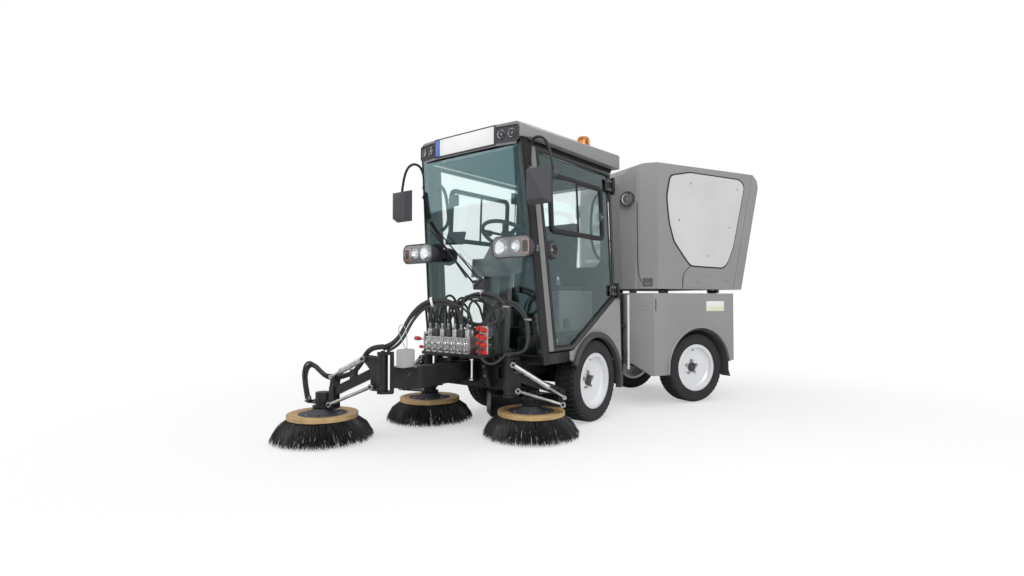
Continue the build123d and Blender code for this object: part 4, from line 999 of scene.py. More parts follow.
@dataclass
class Wheel:
    """A tyre with its tread, and what is bolted on the rim."""

    name: str
    place: Matrix
    radius: float = 290.0
    width: float = 178.0
    bead_x: float = 67.7
    bead_r: float = 179.3
    blocks: int = 46
    stud_circle: float = 56.0
    studs: int = 5

    def build(self) -> None:
        """Makes the tyre and the hub's parts."""
        delivery = Delivery(f"{self.name}_wheel", self.place)
        delivery.hand_over(
            self._tyre(), f"{self.name}_tyre_tread", TYRE_RUBBER, [f"{self.name}_tyre"], 24
        )
        delivery.hand_over(self._hub(), f"{self.name}_hub_parts", None, (), 40)

    def _tyre(self) -> Piece:
        """Spins the carcass and sets the tread blocks on it.

        Returns:
            The tyre.
        """
        half, top = self.width / 2, self.radius
        wall = [
            (-self.bead_x, self.bead_r), (-self.bead_x - 1, 198), (-half + 7, 206), (-half + 2.5, 211),
            (-half + 2, 215), (-half + 0.5, 222), (-half + 0.5, 232), (-half + 1.5, 236),
            (-half + 1.5, 240), (-half + 2, 256), (-half + 8, 268), (-half + 13, top - 12),
            (-half + 24, top - 9)
        ]
        profile = wall + [(-along, radius) for along, radius in reversed(wall)] + [wall[0]]
        parts = [turned(profile, (0, 0, 0), Axis.X.value, 72)]
        pitch = math.tau / self.blocks
        long = self.radius * pitch
        for across, wide, shift, slant in (
            (-67, 28, 0, 0.2), (-24, 40, 0.5, 0.1), (24, 40, 0.25, -0.1), (67, 28, 0.6, -0.2)
        ):
            foot = self.radius - 13 if abs(across) < 40 else self.radius - 17
            one = block(
                (across - wide / 2, -long * 0.36, foot), (across + wide / 2, long * 0.36, self.radius - 0.5)
            )
            with Bench(one) as bench:
                bench.faces(FACES_UP)
                bench.resize((0.93, 0.86, 1), (across, 0, self.radius))
                bench.faces(lambda middle, normal: abs(normal.x) > 0.9 and abs(middle.x) > abs(across))
                if abs(across) > 40:
                    bench.points(lambda point: abs(point.x) > abs(across) and point.z > self.radius - 6)
                    bench.move((-2 * math.copysign(1, across), 0, -9))
            one.data.transform(Matrix.Rotation(slant, 4, "Z"))
            parts += copied(
                one, [Matrix.Rotation(pitch * (count + shift), 4, "X") for count in range(self.blocks)]
            )
        return joined(parts)

    def _hub(self) -> Piece:
        """Makes the centre cap, the nuts and the valve.

        Returns:
            The parts as one piece.
        """
        cap = turned(
            [(8, 29), (19, 40), (24, 40), (27, 36), (30, 22), (31, 0.01)], (0, 0, 0), Axis.X.value, 32
        )
        parts = [painted(cap, BLACK_PLASTIC)]
        spots = []
        for count in range(self.studs):
            turn = math.tau * count / self.studs + math.pi / 2
            spots.append((
                (16.5, math.cos(turn) * self.stud_circle, math.sin(turn) * self.stud_circle), (1, 0, 0)
            ))
        parts.append(Bolt(10.5, 12).at(spots))
        parts.append(painted(rod((27, 0, 150), (40, 0, 143), 5, 12, 4), BLACK_PLASTIC))
        return joined(parts)


# Brushes


@dataclass
class Brush:
    """A round brush: disc, tan ring and tufts of bristles."""

    arm: str
    place: Matrix
    disc_r: float = 213.0
    disc_top: float = 165.0
    disc_low: float = 137.0
    tip_r: float = 308.0
    tip_z: float = 5.0
    tufts: int = 74

    def build(self) -> None:
        """Makes the disc and the bristles."""
        delivery = Delivery(f"{self.arm}_brush", self.place)
        delivery.hand_over(self._disc(), f"{self.arm}_brush_disc", None, [f"{self.arm}_brush"], 30)
        delivery.hand_over(self._bristles(), f"{self.arm}_brush_bristles", BRISTLE, (), 60)

    def _disc(self) -> Piece:
        """Turns the tan ring and the black centre.

        Returns:
            The disc.
        """
        top, low, edge = self.disc_top, self.disc_low, self.disc_r
        ring = [
            (low, 148), (low, edge - 2), (low + 2, edge), (top - 3, edge), (top, edge - 3), (top, 176),
            (top - 3, 173), (top - 3, 148), (low, 148)
        ]
        parts = [painted(turned(ring, (0, 0, 0), Axis.Z.value, 72), RING_TAN)]
        hub = [
            (low + 4, 16), (low + 4, 150), (top - 5, 150), (top - 3, 146), (top - 3, 88), (top + 4, 80),
            (top + 28, 60), (top + 30, 56), (top + 30, 16), (low + 4, 16)
        ]
        parts.append(painted(turned(hub, (0, 0, 0), Axis.Z.value, 56), BLACK_PLASTIC))
        spots = []
        for count in range(6):
            turn = math.tau * count / 6 + 0.3
            spots.append(((math.cos(turn) * 112, math.sin(turn) * 112, top - 3), (0, 0, 1)))
        parts.append(Bolt(7, 5).at(spots))
        for count in range(3):
            turn = math.tau * count / 3
            rib = block((84, -4, top - 6), (146, 4, top + 3))
            with Bench(rib) as bench:
                bench.points(lambda point: point.x > 140 and point.z > top)
                bench.move((0, 0, -5))
            parts += [
                painted(r, BLACK_PLASTIC) for r in copied(
                    rounded(rib, 1.2), [Matrix.Rotation(turn, 4, "Z")]
                )
            ]
        return joined(parts)

    def _bristles(self) -> Piece:
        """Sets curved three-sided bristles in tufts, as one joined mesh.

        Returns:
            The bristles.
        """
        draw = random.Random(len(self.arm))
        corners, faces = [], []
        for row, (root_r, tip_r, tip_z) in enumerate((
            (203, self.tip_r - 12, 12), (182, 276, 6), (162, 246, 4)
        )):
            for tuft in range(self.tufts):
                turn = math.tau * (tuft + 0.33 * row + draw.uniform(-0.16, 0.16)) / self.tufts
                tuft_tip = tip_r + draw.uniform(-9, 9)
                for _ in range(12):
                    self._one(corners, faces, draw, turn, root_r, tuft_tip, tip_z)
        data = bpy.data.meshes.new("bristles")
        data.from_pydata(corners, [], faces)
        piece = bpy.data.objects.new("bristles", data)
        bpy.context.collection.objects.link(piece)
        return piece

    def _one(
        self, corners: list, faces: list, draw: random.Random, turn: float, root_r: float, tip_r: float,
        tip_z: float
    ) -> None:
        """Adds one bristle.

        Args:
            corners: The mesh's points so far.
            faces: The mesh's faces so far.
            draw: The source of chance.
            turn: The tuft's place round the brush.
            root_r: The tuft's radius at the disc.
            tip_r: The tuft's radius at the floor.
            tip_z: The tips' height.
        """
        root_turn = turn + draw.uniform(-7, 7) / root_r
        tip_turn = turn + draw.uniform(-21, 21) / tip_r + 0.05
        out = min(self.tip_r, tip_r + draw.uniform(-17, 17))
        root = Vector((math.cos(root_turn) * root_r, math.sin(root_turn) * root_r, self.disc_low + 2))
        tip = Vector((
            math.cos(tip_turn) * out, math.sin(tip_turn) * out,
            max(self.tip_z, tip_z + draw.uniform(-6, 22))
        ))
        bend = (
            (root + tip) / 2 + Vector((root.x, root.y, 0)).normalized() * draw.uniform(2, 15)
            + Vector((0, 0, 9))
        )
        first = len(corners)
        for middle, radius in ((root, 1.9), (bend, 1.7), (tip, 1.0)):
            for side in range(3):
                angle = math.tau * side / 3 + turn
                corners.append(middle + Vector((math.cos(angle), math.sin(angle), 0)) * radius)
        for level in range(2):
            for side in range(3):
                a, b = first + level * 3 + side, first + level * 3 + (side + 1) % 3
                faces.append((a + 3, b + 3, b, a))
        faces.append((first + 8, first + 7, first + 6))
        faces.append((first, first + 1, first + 2))


# Cab


LEAN = math.tan(math.radians(2.5))
SCREEN_LEAN = math.tan(math.radians(5.62))


def side_x(z: float) -> float:
    """Half width of the cab's outer side at a height."""
    return 526.0 - LEAN * z


def pillar_y(z: float) -> float:
    """Middle of the front pillar at a height."""
    return -565.0 - SCREEN_LEAN * z


def on_side(y: float, z: float, out: float = 0.0) -> Vector:
    """A point on the cab's left side, or so far outside it."""
    return Vector((side_x(z) + out, y, z))


def on_screen(x: float, z: float, out: float = 0.0) -> Vector:
    """A point on the windscreen's outer face, or so far in front of it."""
    bow = 16 * (1 - (x / 490) ** 2)
    return Vector((x, pillar_y(z) - 36.3 - bow - out, z))


def plane_at(foot: Point, out: Point, along: Point) -> Matrix:
    """A local frame with Z outwards and X along.

    Args:
        foot: Its origin.
        out: Its Z.
        along: Roughly its X.

    Returns:
        The frame as a matrix.
    """
    z = Vector(out).normalized()
    y = z.cross(Vector(along)).normalized()
    x = y.cross(z)
    return Matrix.Translation(Vector(foot)) @ Matrix((x, y, z)).transposed().to_4x4()


def moved(piece: Piece, place: Matrix) -> Piece:
    """Places a piece's mesh and returns the piece."""
    piece.data.transform(place)
    return piece


def lamp_bowl(radius: float, lens: Finish = CLEAR_LENS) -> Piece:
    """A round lamp that points along Z from the origin: rim, reflector, bulb and lens.

    Args:
        radius: Its radius.
        lens: What its lens is made of.

    Returns:
        The lamp.
    """
    z, r = Axis.Z.value, radius
    rim = turned([(-4, r), (5, r), (6, r - 2), (5, r - 4), (-4, r - 4), (-4, r)], (0, 0, 0), z, 36)
    bowl = turned(
        [
            (3, r - 4), (-2, r * 0.72), (-7, r * 0.4), (-8.5, r * 0.16), (-10, r * 0.16), (-9, r * 0.45),
            (-4, r * 0.78), (1, r - 3.5), (3, r - 4)
        ],
        (0, 0, 0), z, 36
    )
    bulb = turned([(-9, r * 0.15), (-1, r * 0.13), (1.5, 0.01)], (0, 0, 0), z, 20)
    glass = turned([(2.5, r - 4), (4.5, r - 5), (6, r * 0.5), (6.6, 0.01)], (0, 0, 0), z, 36)
    return joined([
        painted(rim, BLACK_PLASTIC), painted(bowl, REFLECTOR), painted(bulb, CHROME), painted(glass, lens)
    ])


@dataclass
class CabShell:
    """Roof, side panels, flares and the black frame, with softened edges."""

    def build(self) -> None:
        """Makes the softened shells and the seals on them."""
        ON_CAB.hand_over(
            softened("roof", CAB, 9, 3, 14), "roof_shell", ROOF_PAINT, ["roof"], 40
        )
        ON_CAB.hand_over(
            softened("side_panels", CAB, 4), "side_panel_shells", BODY_PAINT, ["side_panels"],
            30
        )
        ON_CAB.hand_over(
            softened("front_flares", CAB, 5, 3), "front_flare_shells", FLARE_GREY, ["front_flares"],
        )
        ON_CAB.hand_over(
            softened("cab_frame", CAB, 2.5), "cab_frame_shell", BLACK_PAINT, ["cab_frame"],
            30
        )
        ON_CAB.hand_over(self._seals(), "screen_seals", GASKET, (), 50)
        ON_CAB.hand_over(self._panel_screws(), "side_panel_screws", None, (), 40)

    def _seals(self) -> Piece:
        """Runs the windscreen's rubber and the rear window's rubber.

        Returns:
            The seals.
        """
        low, high, edge = 510.0, 1852.0, 490.0
        line = []
        for x, z in (
            (-1, low), (-0.5, low), (0, low), (0.5, low), (1, low), (1, high), (0.5, high), (0, high),
            (-0.5, high), (-1, high), (-1, low)
        ):
            line.append(on_screen(x * (side_x(z) - 4) if abs(x) == 1 else x * edge, z, 1))
        rear = [
            (340, 1170), (340, 1690), (290, 1746), (-290, 1746), (-340, 1690), (-340, 1170), (-290, 1114),
            (290, 1114), (340, 1170)
        ]
        return joined([tube(line, 6, False), tube([(x, 366, z) for x, z in rear], 7, False)])

    def _panel_screws(self) -> Piece:
        """Sets the small screws of the side panels.

        Returns:
            The screws.
        """
        places = [
            (on_side(y, z, -1), (1, 0, 0))
            for y, z in ((352, 842), (330, 560), (180, 800), (360, 300), (-322, 492))
        ]
        return both_sides(Bolt(5, 2.5).at(places))


@dataclass
class RoofGear:
    """What the roof carries: the blank plate, the lamps in its corners and the beacon."""

    nose_y: float = -826.0
    plate_half: float = 260.0
    plate_z: tuple[float, float] = (1834.0, 1944.0)
    band: float = 42.0
    beacon_place: tuple[float, float, float] = (360.0, 70.0, 1975.3)

    def build(self) -> None:
        """Makes the plate, the lamps and the beacon."""
        ON_CAB.hand_over(self._plate(), "roof_plate", None, (), 30)
        ON_CAB.hand_over(self._corner_lamps(), "roof_lamps", None, (), 40)
        ON_CAB.hand_over(self._beacon(), "beacon_lamp", None, ["beacon"], 40)

    def _plate(self) -> Piece:
        """Makes the holder, the blank plate and its blue band.

        Returns:
            The plate.
        """
        low, high = self.plate_z
        y, half = self.nose_y, self.plate_half
        holder = block((-half - 9, y - 7, low - 9), (half + 9, y + 6, high + 9))
        with Bench(holder) as bench:
            bench.faces(FACES_FRONT)
            bench.inset(6)
            bench.inset(0.01, -3)
        plate = block((-half + self.band, y - 9, low), (half, y - 4, high))
        band = block((-half, y - 9, low), (-half + self.band, y - 4, high))
        return joined([
            painted(rounded(holder, 3), BLACK_PLASTIC), painted(rounded(plate, 1.5), PLATE_WHITE),
            painted(rounded(band, 1.5), PLATE_BLUE)
        ])

    def _corner_lamps(self) -> Piece:
        """Makes the pair of twin lamps on the roof's corner facets.

        Returns:
            The lamps.
        """
        along = Vector((178, 30, 0))
        facet = plane_at((351, -811, 1886), (along.y, -along.x, 0), along)
        housing = block((-84, -50, -2), (84, 50, 13))
        with Bench(housing) as bench:
            bench.edges(lambda a, b: abs(a.z - b.z) > 10)
            bench.bevel(14, 4)
            bench.faces(FACES_UP)
            bench.inset(5)
            bench.inset(0.5, -7)
        parts = [painted(rounded(housing, 1.5), BLACK_PLASTIC)]
        for x in (-38, 38):
            parts.append(moved(lamp_bowl(32), Matrix.Translation((x, 0, 7.5))))
        return both_sides(moved(joined(parts), facet))

    def _beacon(self) -> Piece:
        """Turns the beacon's foot, dome and inner reflector.

        Returns:
            The beacon.
        """
        z, foot = Axis.Z.value, self.beacon_place
        base = turned(
            [(0, 0.01), (0, 58), (5, 58), (7, 56), (14, 55), (22, 51), (24, 46), (24, 0.01)], foot, z, 40
        )
        dome = turned(
            [(22, 47.5), (30, 48), (62, 46.5), (78, 42), (88, 33), (93, 20), (94.6, 0.01)], foot, z, 40
        )
        core = turned([(22, 15), (60, 15), (64, 22), (70, 23), (72, 18), (72, 0.01)], foot, z, 24)
        cup = slab(
            [Vector(foot) + Vector(p) for p in ((-26, 6, 26), (26, 6, 26), (22, 6, 74), (-22, 6, 74))],
            (0, 3, 0)
        )
        return joined([
            painted(base, BLACK_PLASTIC), painted(dome, AMBER_LENS), painted(core, CHROME),
            painted(cup, DARK_PLASTIC)
        ])


@dataclass
class Headlamps:
    """The two headlamp pods beside the windscreen."""

    centre: tuple[float, float, float] = (415.0, -808.0, 1180.0)
    size: tuple[float, float, float] = (300.0, 100.0, 138.0)

    def build(self) -> None:
        """Makes both pods."""
        ON_CAB.hand_over(self._pair(), "headlamp_pods", None, ["lamps"], 40)

    def _pair(self) -> Piece:
        """Shapes one pod with its lamps and mirrors it.

        Returns:
            Both pods.
        """
        (x, y, z), (wide, deep, high) = self.centre, self.size
        front = y - deep / 2
        shell = block((x - wide / 2, front, z - high / 2), (x + wide / 2, y + deep / 2, z + high / 2))
        with Bench(shell) as bench:
            bench.faces(FACES_REAR)
            bench.resize((0.74, 1, 0.72), (x - 20, y, z))
            bench.edges(lambda a, b: abs(a.y - b.y) > 50)
            bench.bevel(44, 6)
            bench.faces(FACES_FRONT)
            bench.inset(9)
            bench.inset(0.5, -24)
        parts = [painted(rounded(shell, 6, 3), BLACK_PLASTIC)]
        facing = plane_at((x - 76, front + 12, z), (0, -1, 0), (1, 0, 0))
        parts.append(moved(lamp_bowl(57), facing))
        facing = plane_at((x + 32, front + 12, z + 4), (0, -1, 0), (1, 0, 0))
        parts.append(moved(lamp_bowl(40), facing))
        turn_box = block((x + 78, front + 4, z - 44), (x + 136, front + 22, z + 44))
        parts.append(painted(rounded(turn_box, 12, 4), ORANGE_LENS))
        cover = block(
            (x - wide / 2 + 9, front + 1, z - high / 2 + 9), (x + wide / 2 - 9, front + 4, z + high / 2 - 9)
        )
        eased(cover, lambda a, b: abs(a.y - b.y) > 2, 36, 6)
        parts.append(painted(cover, CLEAR_LENS))
        bracket = block((side_x(z) - 2, y + 28, z - 20), (side_x(z) + 18, pillar_y(z) + 8, z + 20))
        parts.append(painted(rounded(bracket, 4), BLACK_PAINT))
        parts.append(Bolt(8, 6).at([
            ((side_x(z) + 18, pillar_y(z) - 12, z + side * 10), (1, 0, 0)) for side in SIDES
        ]))
        return both_sides(joined(parts))


@dataclass
class Mirrors:
    """The outside mirrors on their bent tubes."""

    middle: tuple[float, float, float] = (602.0, -838.0, 1535.0)
    size: tuple[float, float, float] = (160.0, 56.0, 222.0)
    foot_z: float = 1640.0

    def build(self) -> None:
        """Makes both mirrors."""
        ON_CAB.hand_over(self._pair(), "outside_mirrors", None, ["mirrors"], 11)

    def _pair(self) -> Piece:
        """Shapes one mirror's faceted shell, glass, tube and clamps and mirrors it.

        Returns:
            Both mirrors.
        """
        (x, y, z), (wide, deep, high) = self.middle, self.size
        shell = block(
            (x - wide / 2, y - deep / 2, z - high / 2), (x + wide / 2, y + deep / 2, z + high / 2)
        )
        with Bench(shell) as bench:
            bench.faces(FACES_FRONT)
            bench.resize((0.80, 1, 0.84), (x + 6, y, z + 12))
            bench.inset(3, 4)
            bpy.ops.mesh.poke()
            bench.points(
                lambda point: abs(point.x - x) < 30 and abs(point.z - z) < 50 and point.y < y - deep / 2 - 1
            )
            bench.move((16, -30, 26))
            bench.faces(FACES_REAR)
            bench.inset(7)
            bench.inset(0.5, -3)
        parts = [painted(rounded(shell, 3, 2, 40), BLACK_PLASTIC)]
        glass = block(
            (x - wide / 2 + 9, y + deep / 2 - 5, z - high / 2 + 9),
            (x + wide / 2 - 9, y + deep / 2 - 2, z + high / 2 - 9)
        )
        parts.append(painted(rounded(glass, 1.2), MIRROR_GLASS))
        post = (side_x(self.foot_z) + 14, pillar_y(self.foot_z) - 8, self.foot_z)
        arm_y = y + 58
        route = [
            (post[0], post[1], post[2] - 30), post, (post[0] + 4, post[1] - 4, post[2] + 80),
            (post[0] + 20, post[1] - 22, post[2] + 176), (545, arm_y, post[2] + 206),
            (622, arm_y, post[2] + 176), (664, arm_y, post[2] + 60), (676, arm_y, z + 60)
        ]
        parts.append(painted(hose(route, 9), BLACK_PAINT))
        parts.append(painted(
            rounded(rod((676, arm_y + 16, z + 65), (676, arm_y - 20, z + 65), 20, 24), 5, 3), BLACK_PLASTIC
        ))
        parts.append(painted(
            rounded(rod((676, arm_y - 14, z + 65), (640, y + 18, z + 50), 15, 20, 12), 3), BLACK_PLASTIC
        ))
        parts.append(Bolt(7, 5).at([((676, arm_y + 16, z + 65), (0, 1, 0))]))
        for low in (post[2] - 58, post[2] + 12):
            clamp = block((side_x(low) + 1, post[1] - 17, low), (post[0] + 15, post[1] + 17, low + 30))
            parts.append(painted(rounded(clamp, 6, 3), BLACK_PLASTIC))
            parts.append(Bolt(5, 4).at([
                ((post[0] + 15, post[1] + side * 10, low + 15), (1, 0, 0)) for side in SIDES
            ]))
        return both_sides(joined(parts))


@dataclass
class Wipers:
    """The parallel wiper arms, their drive and the blade."""

    pivot: tuple[float, float] = (52.0, 962.0)
    tip: tuple[float, float] = (-380.0, 1352.0)

    def build(self) -> None:
        """Makes the wiper."""
        ON_CAB.hand_over(self._wiper(), "windscreen_wiper", None, (), 40)

    def _wiper(self) -> Piece:
        """Sets the arms from the drive to the tip, and the blade beside them.

        Returns:
            The wiper.
        """
        (px, pz), (tx, tz) = self.pivot, self.tip
        drive = block((px - 44, pillar_y(pz) - 92, pz - 34), (px + 52, pillar_y(pz) - 50, pz + 30))
        parts = [painted(rounded(drive, 8, 3), BLACK_PLASTIC)]
        for shift, wide in ((0, 7), (54, 6)):
            foot, head = on_screen(px + shift * 0.75 - 20, pz + shift * 0.6, 44), on_screen(
                tx + shift, tz + shift * 0.2, 26
            )
            arm = rod(foot, head, wide, 8, wide * 0.7)
            parts.append(painted(arm, BLACK_PAINT))
            parts.append(painted(
                rounded(rod(foot + Vector((0, 26, 0)), foot - Vector((0, 10, 0)), 15, 20), 3), BLACK_PLASTIC
            ))
            parts.append(Bolt(7, 6).at([(foot - Vector((0, 10, 0)), (0, -1, 0))]))
        low, high = on_screen(-70, 1010, 9), on_screen(tx - 36, tz + 62, 9)
        parts.append(painted(rod(low, high, 6, 6), RUBBER))
        parts.append(painted(rod(low + Vector((0, -9, 4)), high + Vector((0, -9, 4)), 4, 6), BLACK_PAINT))
        bridge = [on_screen(tx + 4, tz, 26), on_screen(tx - 22, tz + 6, 16)]
        parts.append(painted(rod(*bridge, 7, 8), BLACK_PLASTIC))
        hose = [
            on_screen(px + 6, pz + 30, 40), on_screen(px - 30, pz + 120, 46),
            on_screen(px - 110, pz + 160, 34), on_screen(px - 150, pz + 210, 30)
        ]
        parts.append(painted(tube(hose, 3), RUBBER))
        return joined(parts)


@dataclass
class Door:
    """One door: softened frame, slider frame, seals, handle, hinges and small fittings."""

    hand: str
    slider_y: tuple[float, float] = (-500.0, 182.0)
    slider_z: tuple[float, float] = (1300.0, 1692.0)
    handle: tuple[float, float] = (-495.0, 1183.0)
    hinge_y: float = 330.0
    hinge_z: tuple[tuple[float, float], ...] = ((1650.0, 1805.0), (862.0, 1002.0))
    low_z: float = 532.0
    top_z: float = 1828.0

    def build(self) -> None:
        """Makes the door's pieces."""
        door = Delivery(f"door_{self.hand}", CAB)
        door.hand_over(
            softened(f"door_{self.hand}", CAB, 2), f"door_{self.hand}_shell", DOOR_GREY,
            [f"door_{self.hand}"], 30
        )
        for name, make, slot in (
            ("window", self._window, "black_plastic"), ("stile", self._stile, "body_grey"),
            ("handle", self._handle, "black_plastic"), ("hinges", self._hinges, "black_frame"),
            ("seal", self._seal, "black_plastic")
        ):
            piece = make()
            if self.hand == "right":
                piece = copied(piece, [Matrix.Scale(-1, 4, (1, 0, 0))])[0]
            door.hand_over(piece, f"door_{self.hand}_{name}", None, (), 35)

    def _ring(self, grow: float, inside: float, corner: float, outs: tuple[float, float]) -> Piece:
        """Makes a rounded frame on the door's plane.

        Args:
            grow: How far outside the slider's outline it starts.
            inside: How wide it is.
            corner: Its outer corner's radius.
            outs: Where it starts and ends, outside the cab's side.

        Returns:
            The frame.
        """
        (y0, y1), (z0, z1) = self.slider_y, self.slider_z
        line = []
        for cy, cz, first in ((y1, z1, 0), (y0, z1, 90), (y0, z0, 180), (y1, z0, 270)):
            sy, sz = (1 if cy == y1 else -1), (1 if cz == z1 else -1)
            for step in range(7):
                turn = math.radians(first + 15 * step)
                line.append(on_side(
                    cy + sy * (grow - corner) + math.cos(turn) * corner,
                    cz + sz * (grow - corner) + math.sin(turn) * corner, outs[0]
                ))
        ring = slab(line, (outs[1] - outs[0], 0, 0))
        with Bench(ring) as bench:
            bench.faces(lambda middle, normal: abs(normal.x) > 0.9)
            bench.inset(inside)
            bpy.ops.mesh.bridge_edge_loops()
        return ring

    def _window(self) -> Piece:
        """Makes the sliding window's black frame, divider bar and latch.

        Returns:
            The frame.
        """
        parts = [painted(rounded(self._ring(5, 33, 54, (-23, 2)), 3), GASKET)]
        low, high = on_side(-158, self.slider_z[0] + 20, -12), on_side(-158, self.slider_z[1] - 20, -12)
        parts.append(painted(rod(low, high, 9, 8), GASKET))
        latch = block((side_x(1480) - 8, 128, 1440), (side_x(1480) + 8, 158, 1500))
        parts.append(painted(rounded(latch, 5, 3), BLACK_PLASTIC))
        parts.append(painted(rounded(rod(on_side(143, 1470, 6), on_side(143, 1470, 14), 8, 20), 2), CHROME))
        return joined(parts)

    def _stile(self) -> Piece:
        """Makes the lighter cover of the door's front stile.

        Returns:
            The cover.
        """
        front = 36.0
        line = []
        for z, shift in (
            (self.low_z + 4, 3), (self.low_z + 4, 56), (self.top_z - 4, 56), (self.top_z - 4, 3)
        ):
            line.append(on_side(pillar_y(z) + front + shift, z, -1))
        cover = rounded(slab(line, (3.5, 0, 0)), 1.5)
        rib = [on_side(pillar_y(z) + front + 64, z, 1) for z in (self.low_z + 10, self.top_z - 10)]
        return joined([painted(cover, STILE_GREY), painted(rod(*rib, 4, 8), GASKET)])

    def _handle(self) -> Piece:
        """Makes the ring handle and the small round latch and vent on the pane.

        Returns:
            The fittings.
        """
        y, z = self.handle
        out = Vector((1, 0, LEAN))
        ring = turned(
            [(-14, 34), (-14, 47), (4, 50), (11, 47), (13, 41), (11, 36), (2, 33), (-14, 34)],
            on_side(y, z), out, 40
        )
        dish = turned([(-12, 35), (-5, 31), (-3, 20), (-1, 8), (0, 0.01)], on_side(y, z), out, 32)
        plate = turned([(-8, 0.01), (-8, 62), (-2, 62), (0, 60), (0, 0.01)], on_side(y, z), out, 40)
        knob = turned([(-4, 9), (4, 9), (6, 6), (6.5, 0.01)], on_side(y - 14, z), out, 20)
        parts = [
            painted(ring, BLACK_PLASTIC), painted(dish, GASKET), painted(plate, DARK_PLASTIC),
            painted(knob, CHROME)
        ]
        for cy, cz, radius, finish in ((-470, 590, 26, BLACK_PLASTIC), (-330, 700, 38, DARK_PLASTIC)):
            foot = on_side(cy, cz)
            disc = turned(
                [(-30, 0.01), (-30, radius), (-22, radius), (-20, radius - 3), (-19, 0.01)], foot, out, 32
            )
            parts.append(painted(disc, finish))
        parts.append(Bolt(6, 4).at([(on_side(-464, 598, -18), (1, 0, 0))]))
        return joined(parts)

    def _hinges(self) -> Piece:
        """Makes the straps and barrels that the door carries.

        Returns:
            The hinges.
        """
        parts = []
        for low, high in self.hinge_z:
            strap = slab(
                [
                    on_side(y, z, -1)
                    for y, z in (
                        (238, low + 30), (self.hinge_y - 6, low + 30), (self.hinge_y - 6, high - 30),
                        (238, high - 30)
                    )
                ],
                (12, 0, 0)
            )
            barrel = rod(on_side(self.hinge_y, low + 36, 15), on_side(self.hinge_y, high - 36, 15), 15, 24)
            parts += [painted(rounded(strap, 4, 3), BLACK_PAINT), painted(rounded(barrel, 2), BLACK_PAINT)]
            spots = [(on_side(y, z, 11), (1, 0, 0)) for y in (256, 296) for z in (low + 46, high - 46)]
            parts.append(Bolt(7, 5).at(spots))
        return joined(parts)

    def _seal(self) -> Piece:
        """Runs the black rubber round the door's pane.

        Returns:
            The seal.
        """
        front = 36 + 84
        line = [
            (pillar_y(560) + front, 560), (-308, 560), (286, 892), (286, 1802),
            (pillar_y(1802) + front, 1802), (pillar_y(560) + front, 560)
        ]
        edge = [
            (pillar_y(536) + 34, 536), (-300, 536), (310, 880), (310, 1826), (pillar_y(1826) + 34, 1826),
            (pillar_y(536) + 34, 536)
        ]
        return painted(
            joined([
                tube([on_side(y, z, -3) for y, z in line], 6, False),
                tube([on_side(y, z, -2) for y, z in edge], 4, False)
            ]),
            GASKET
        )


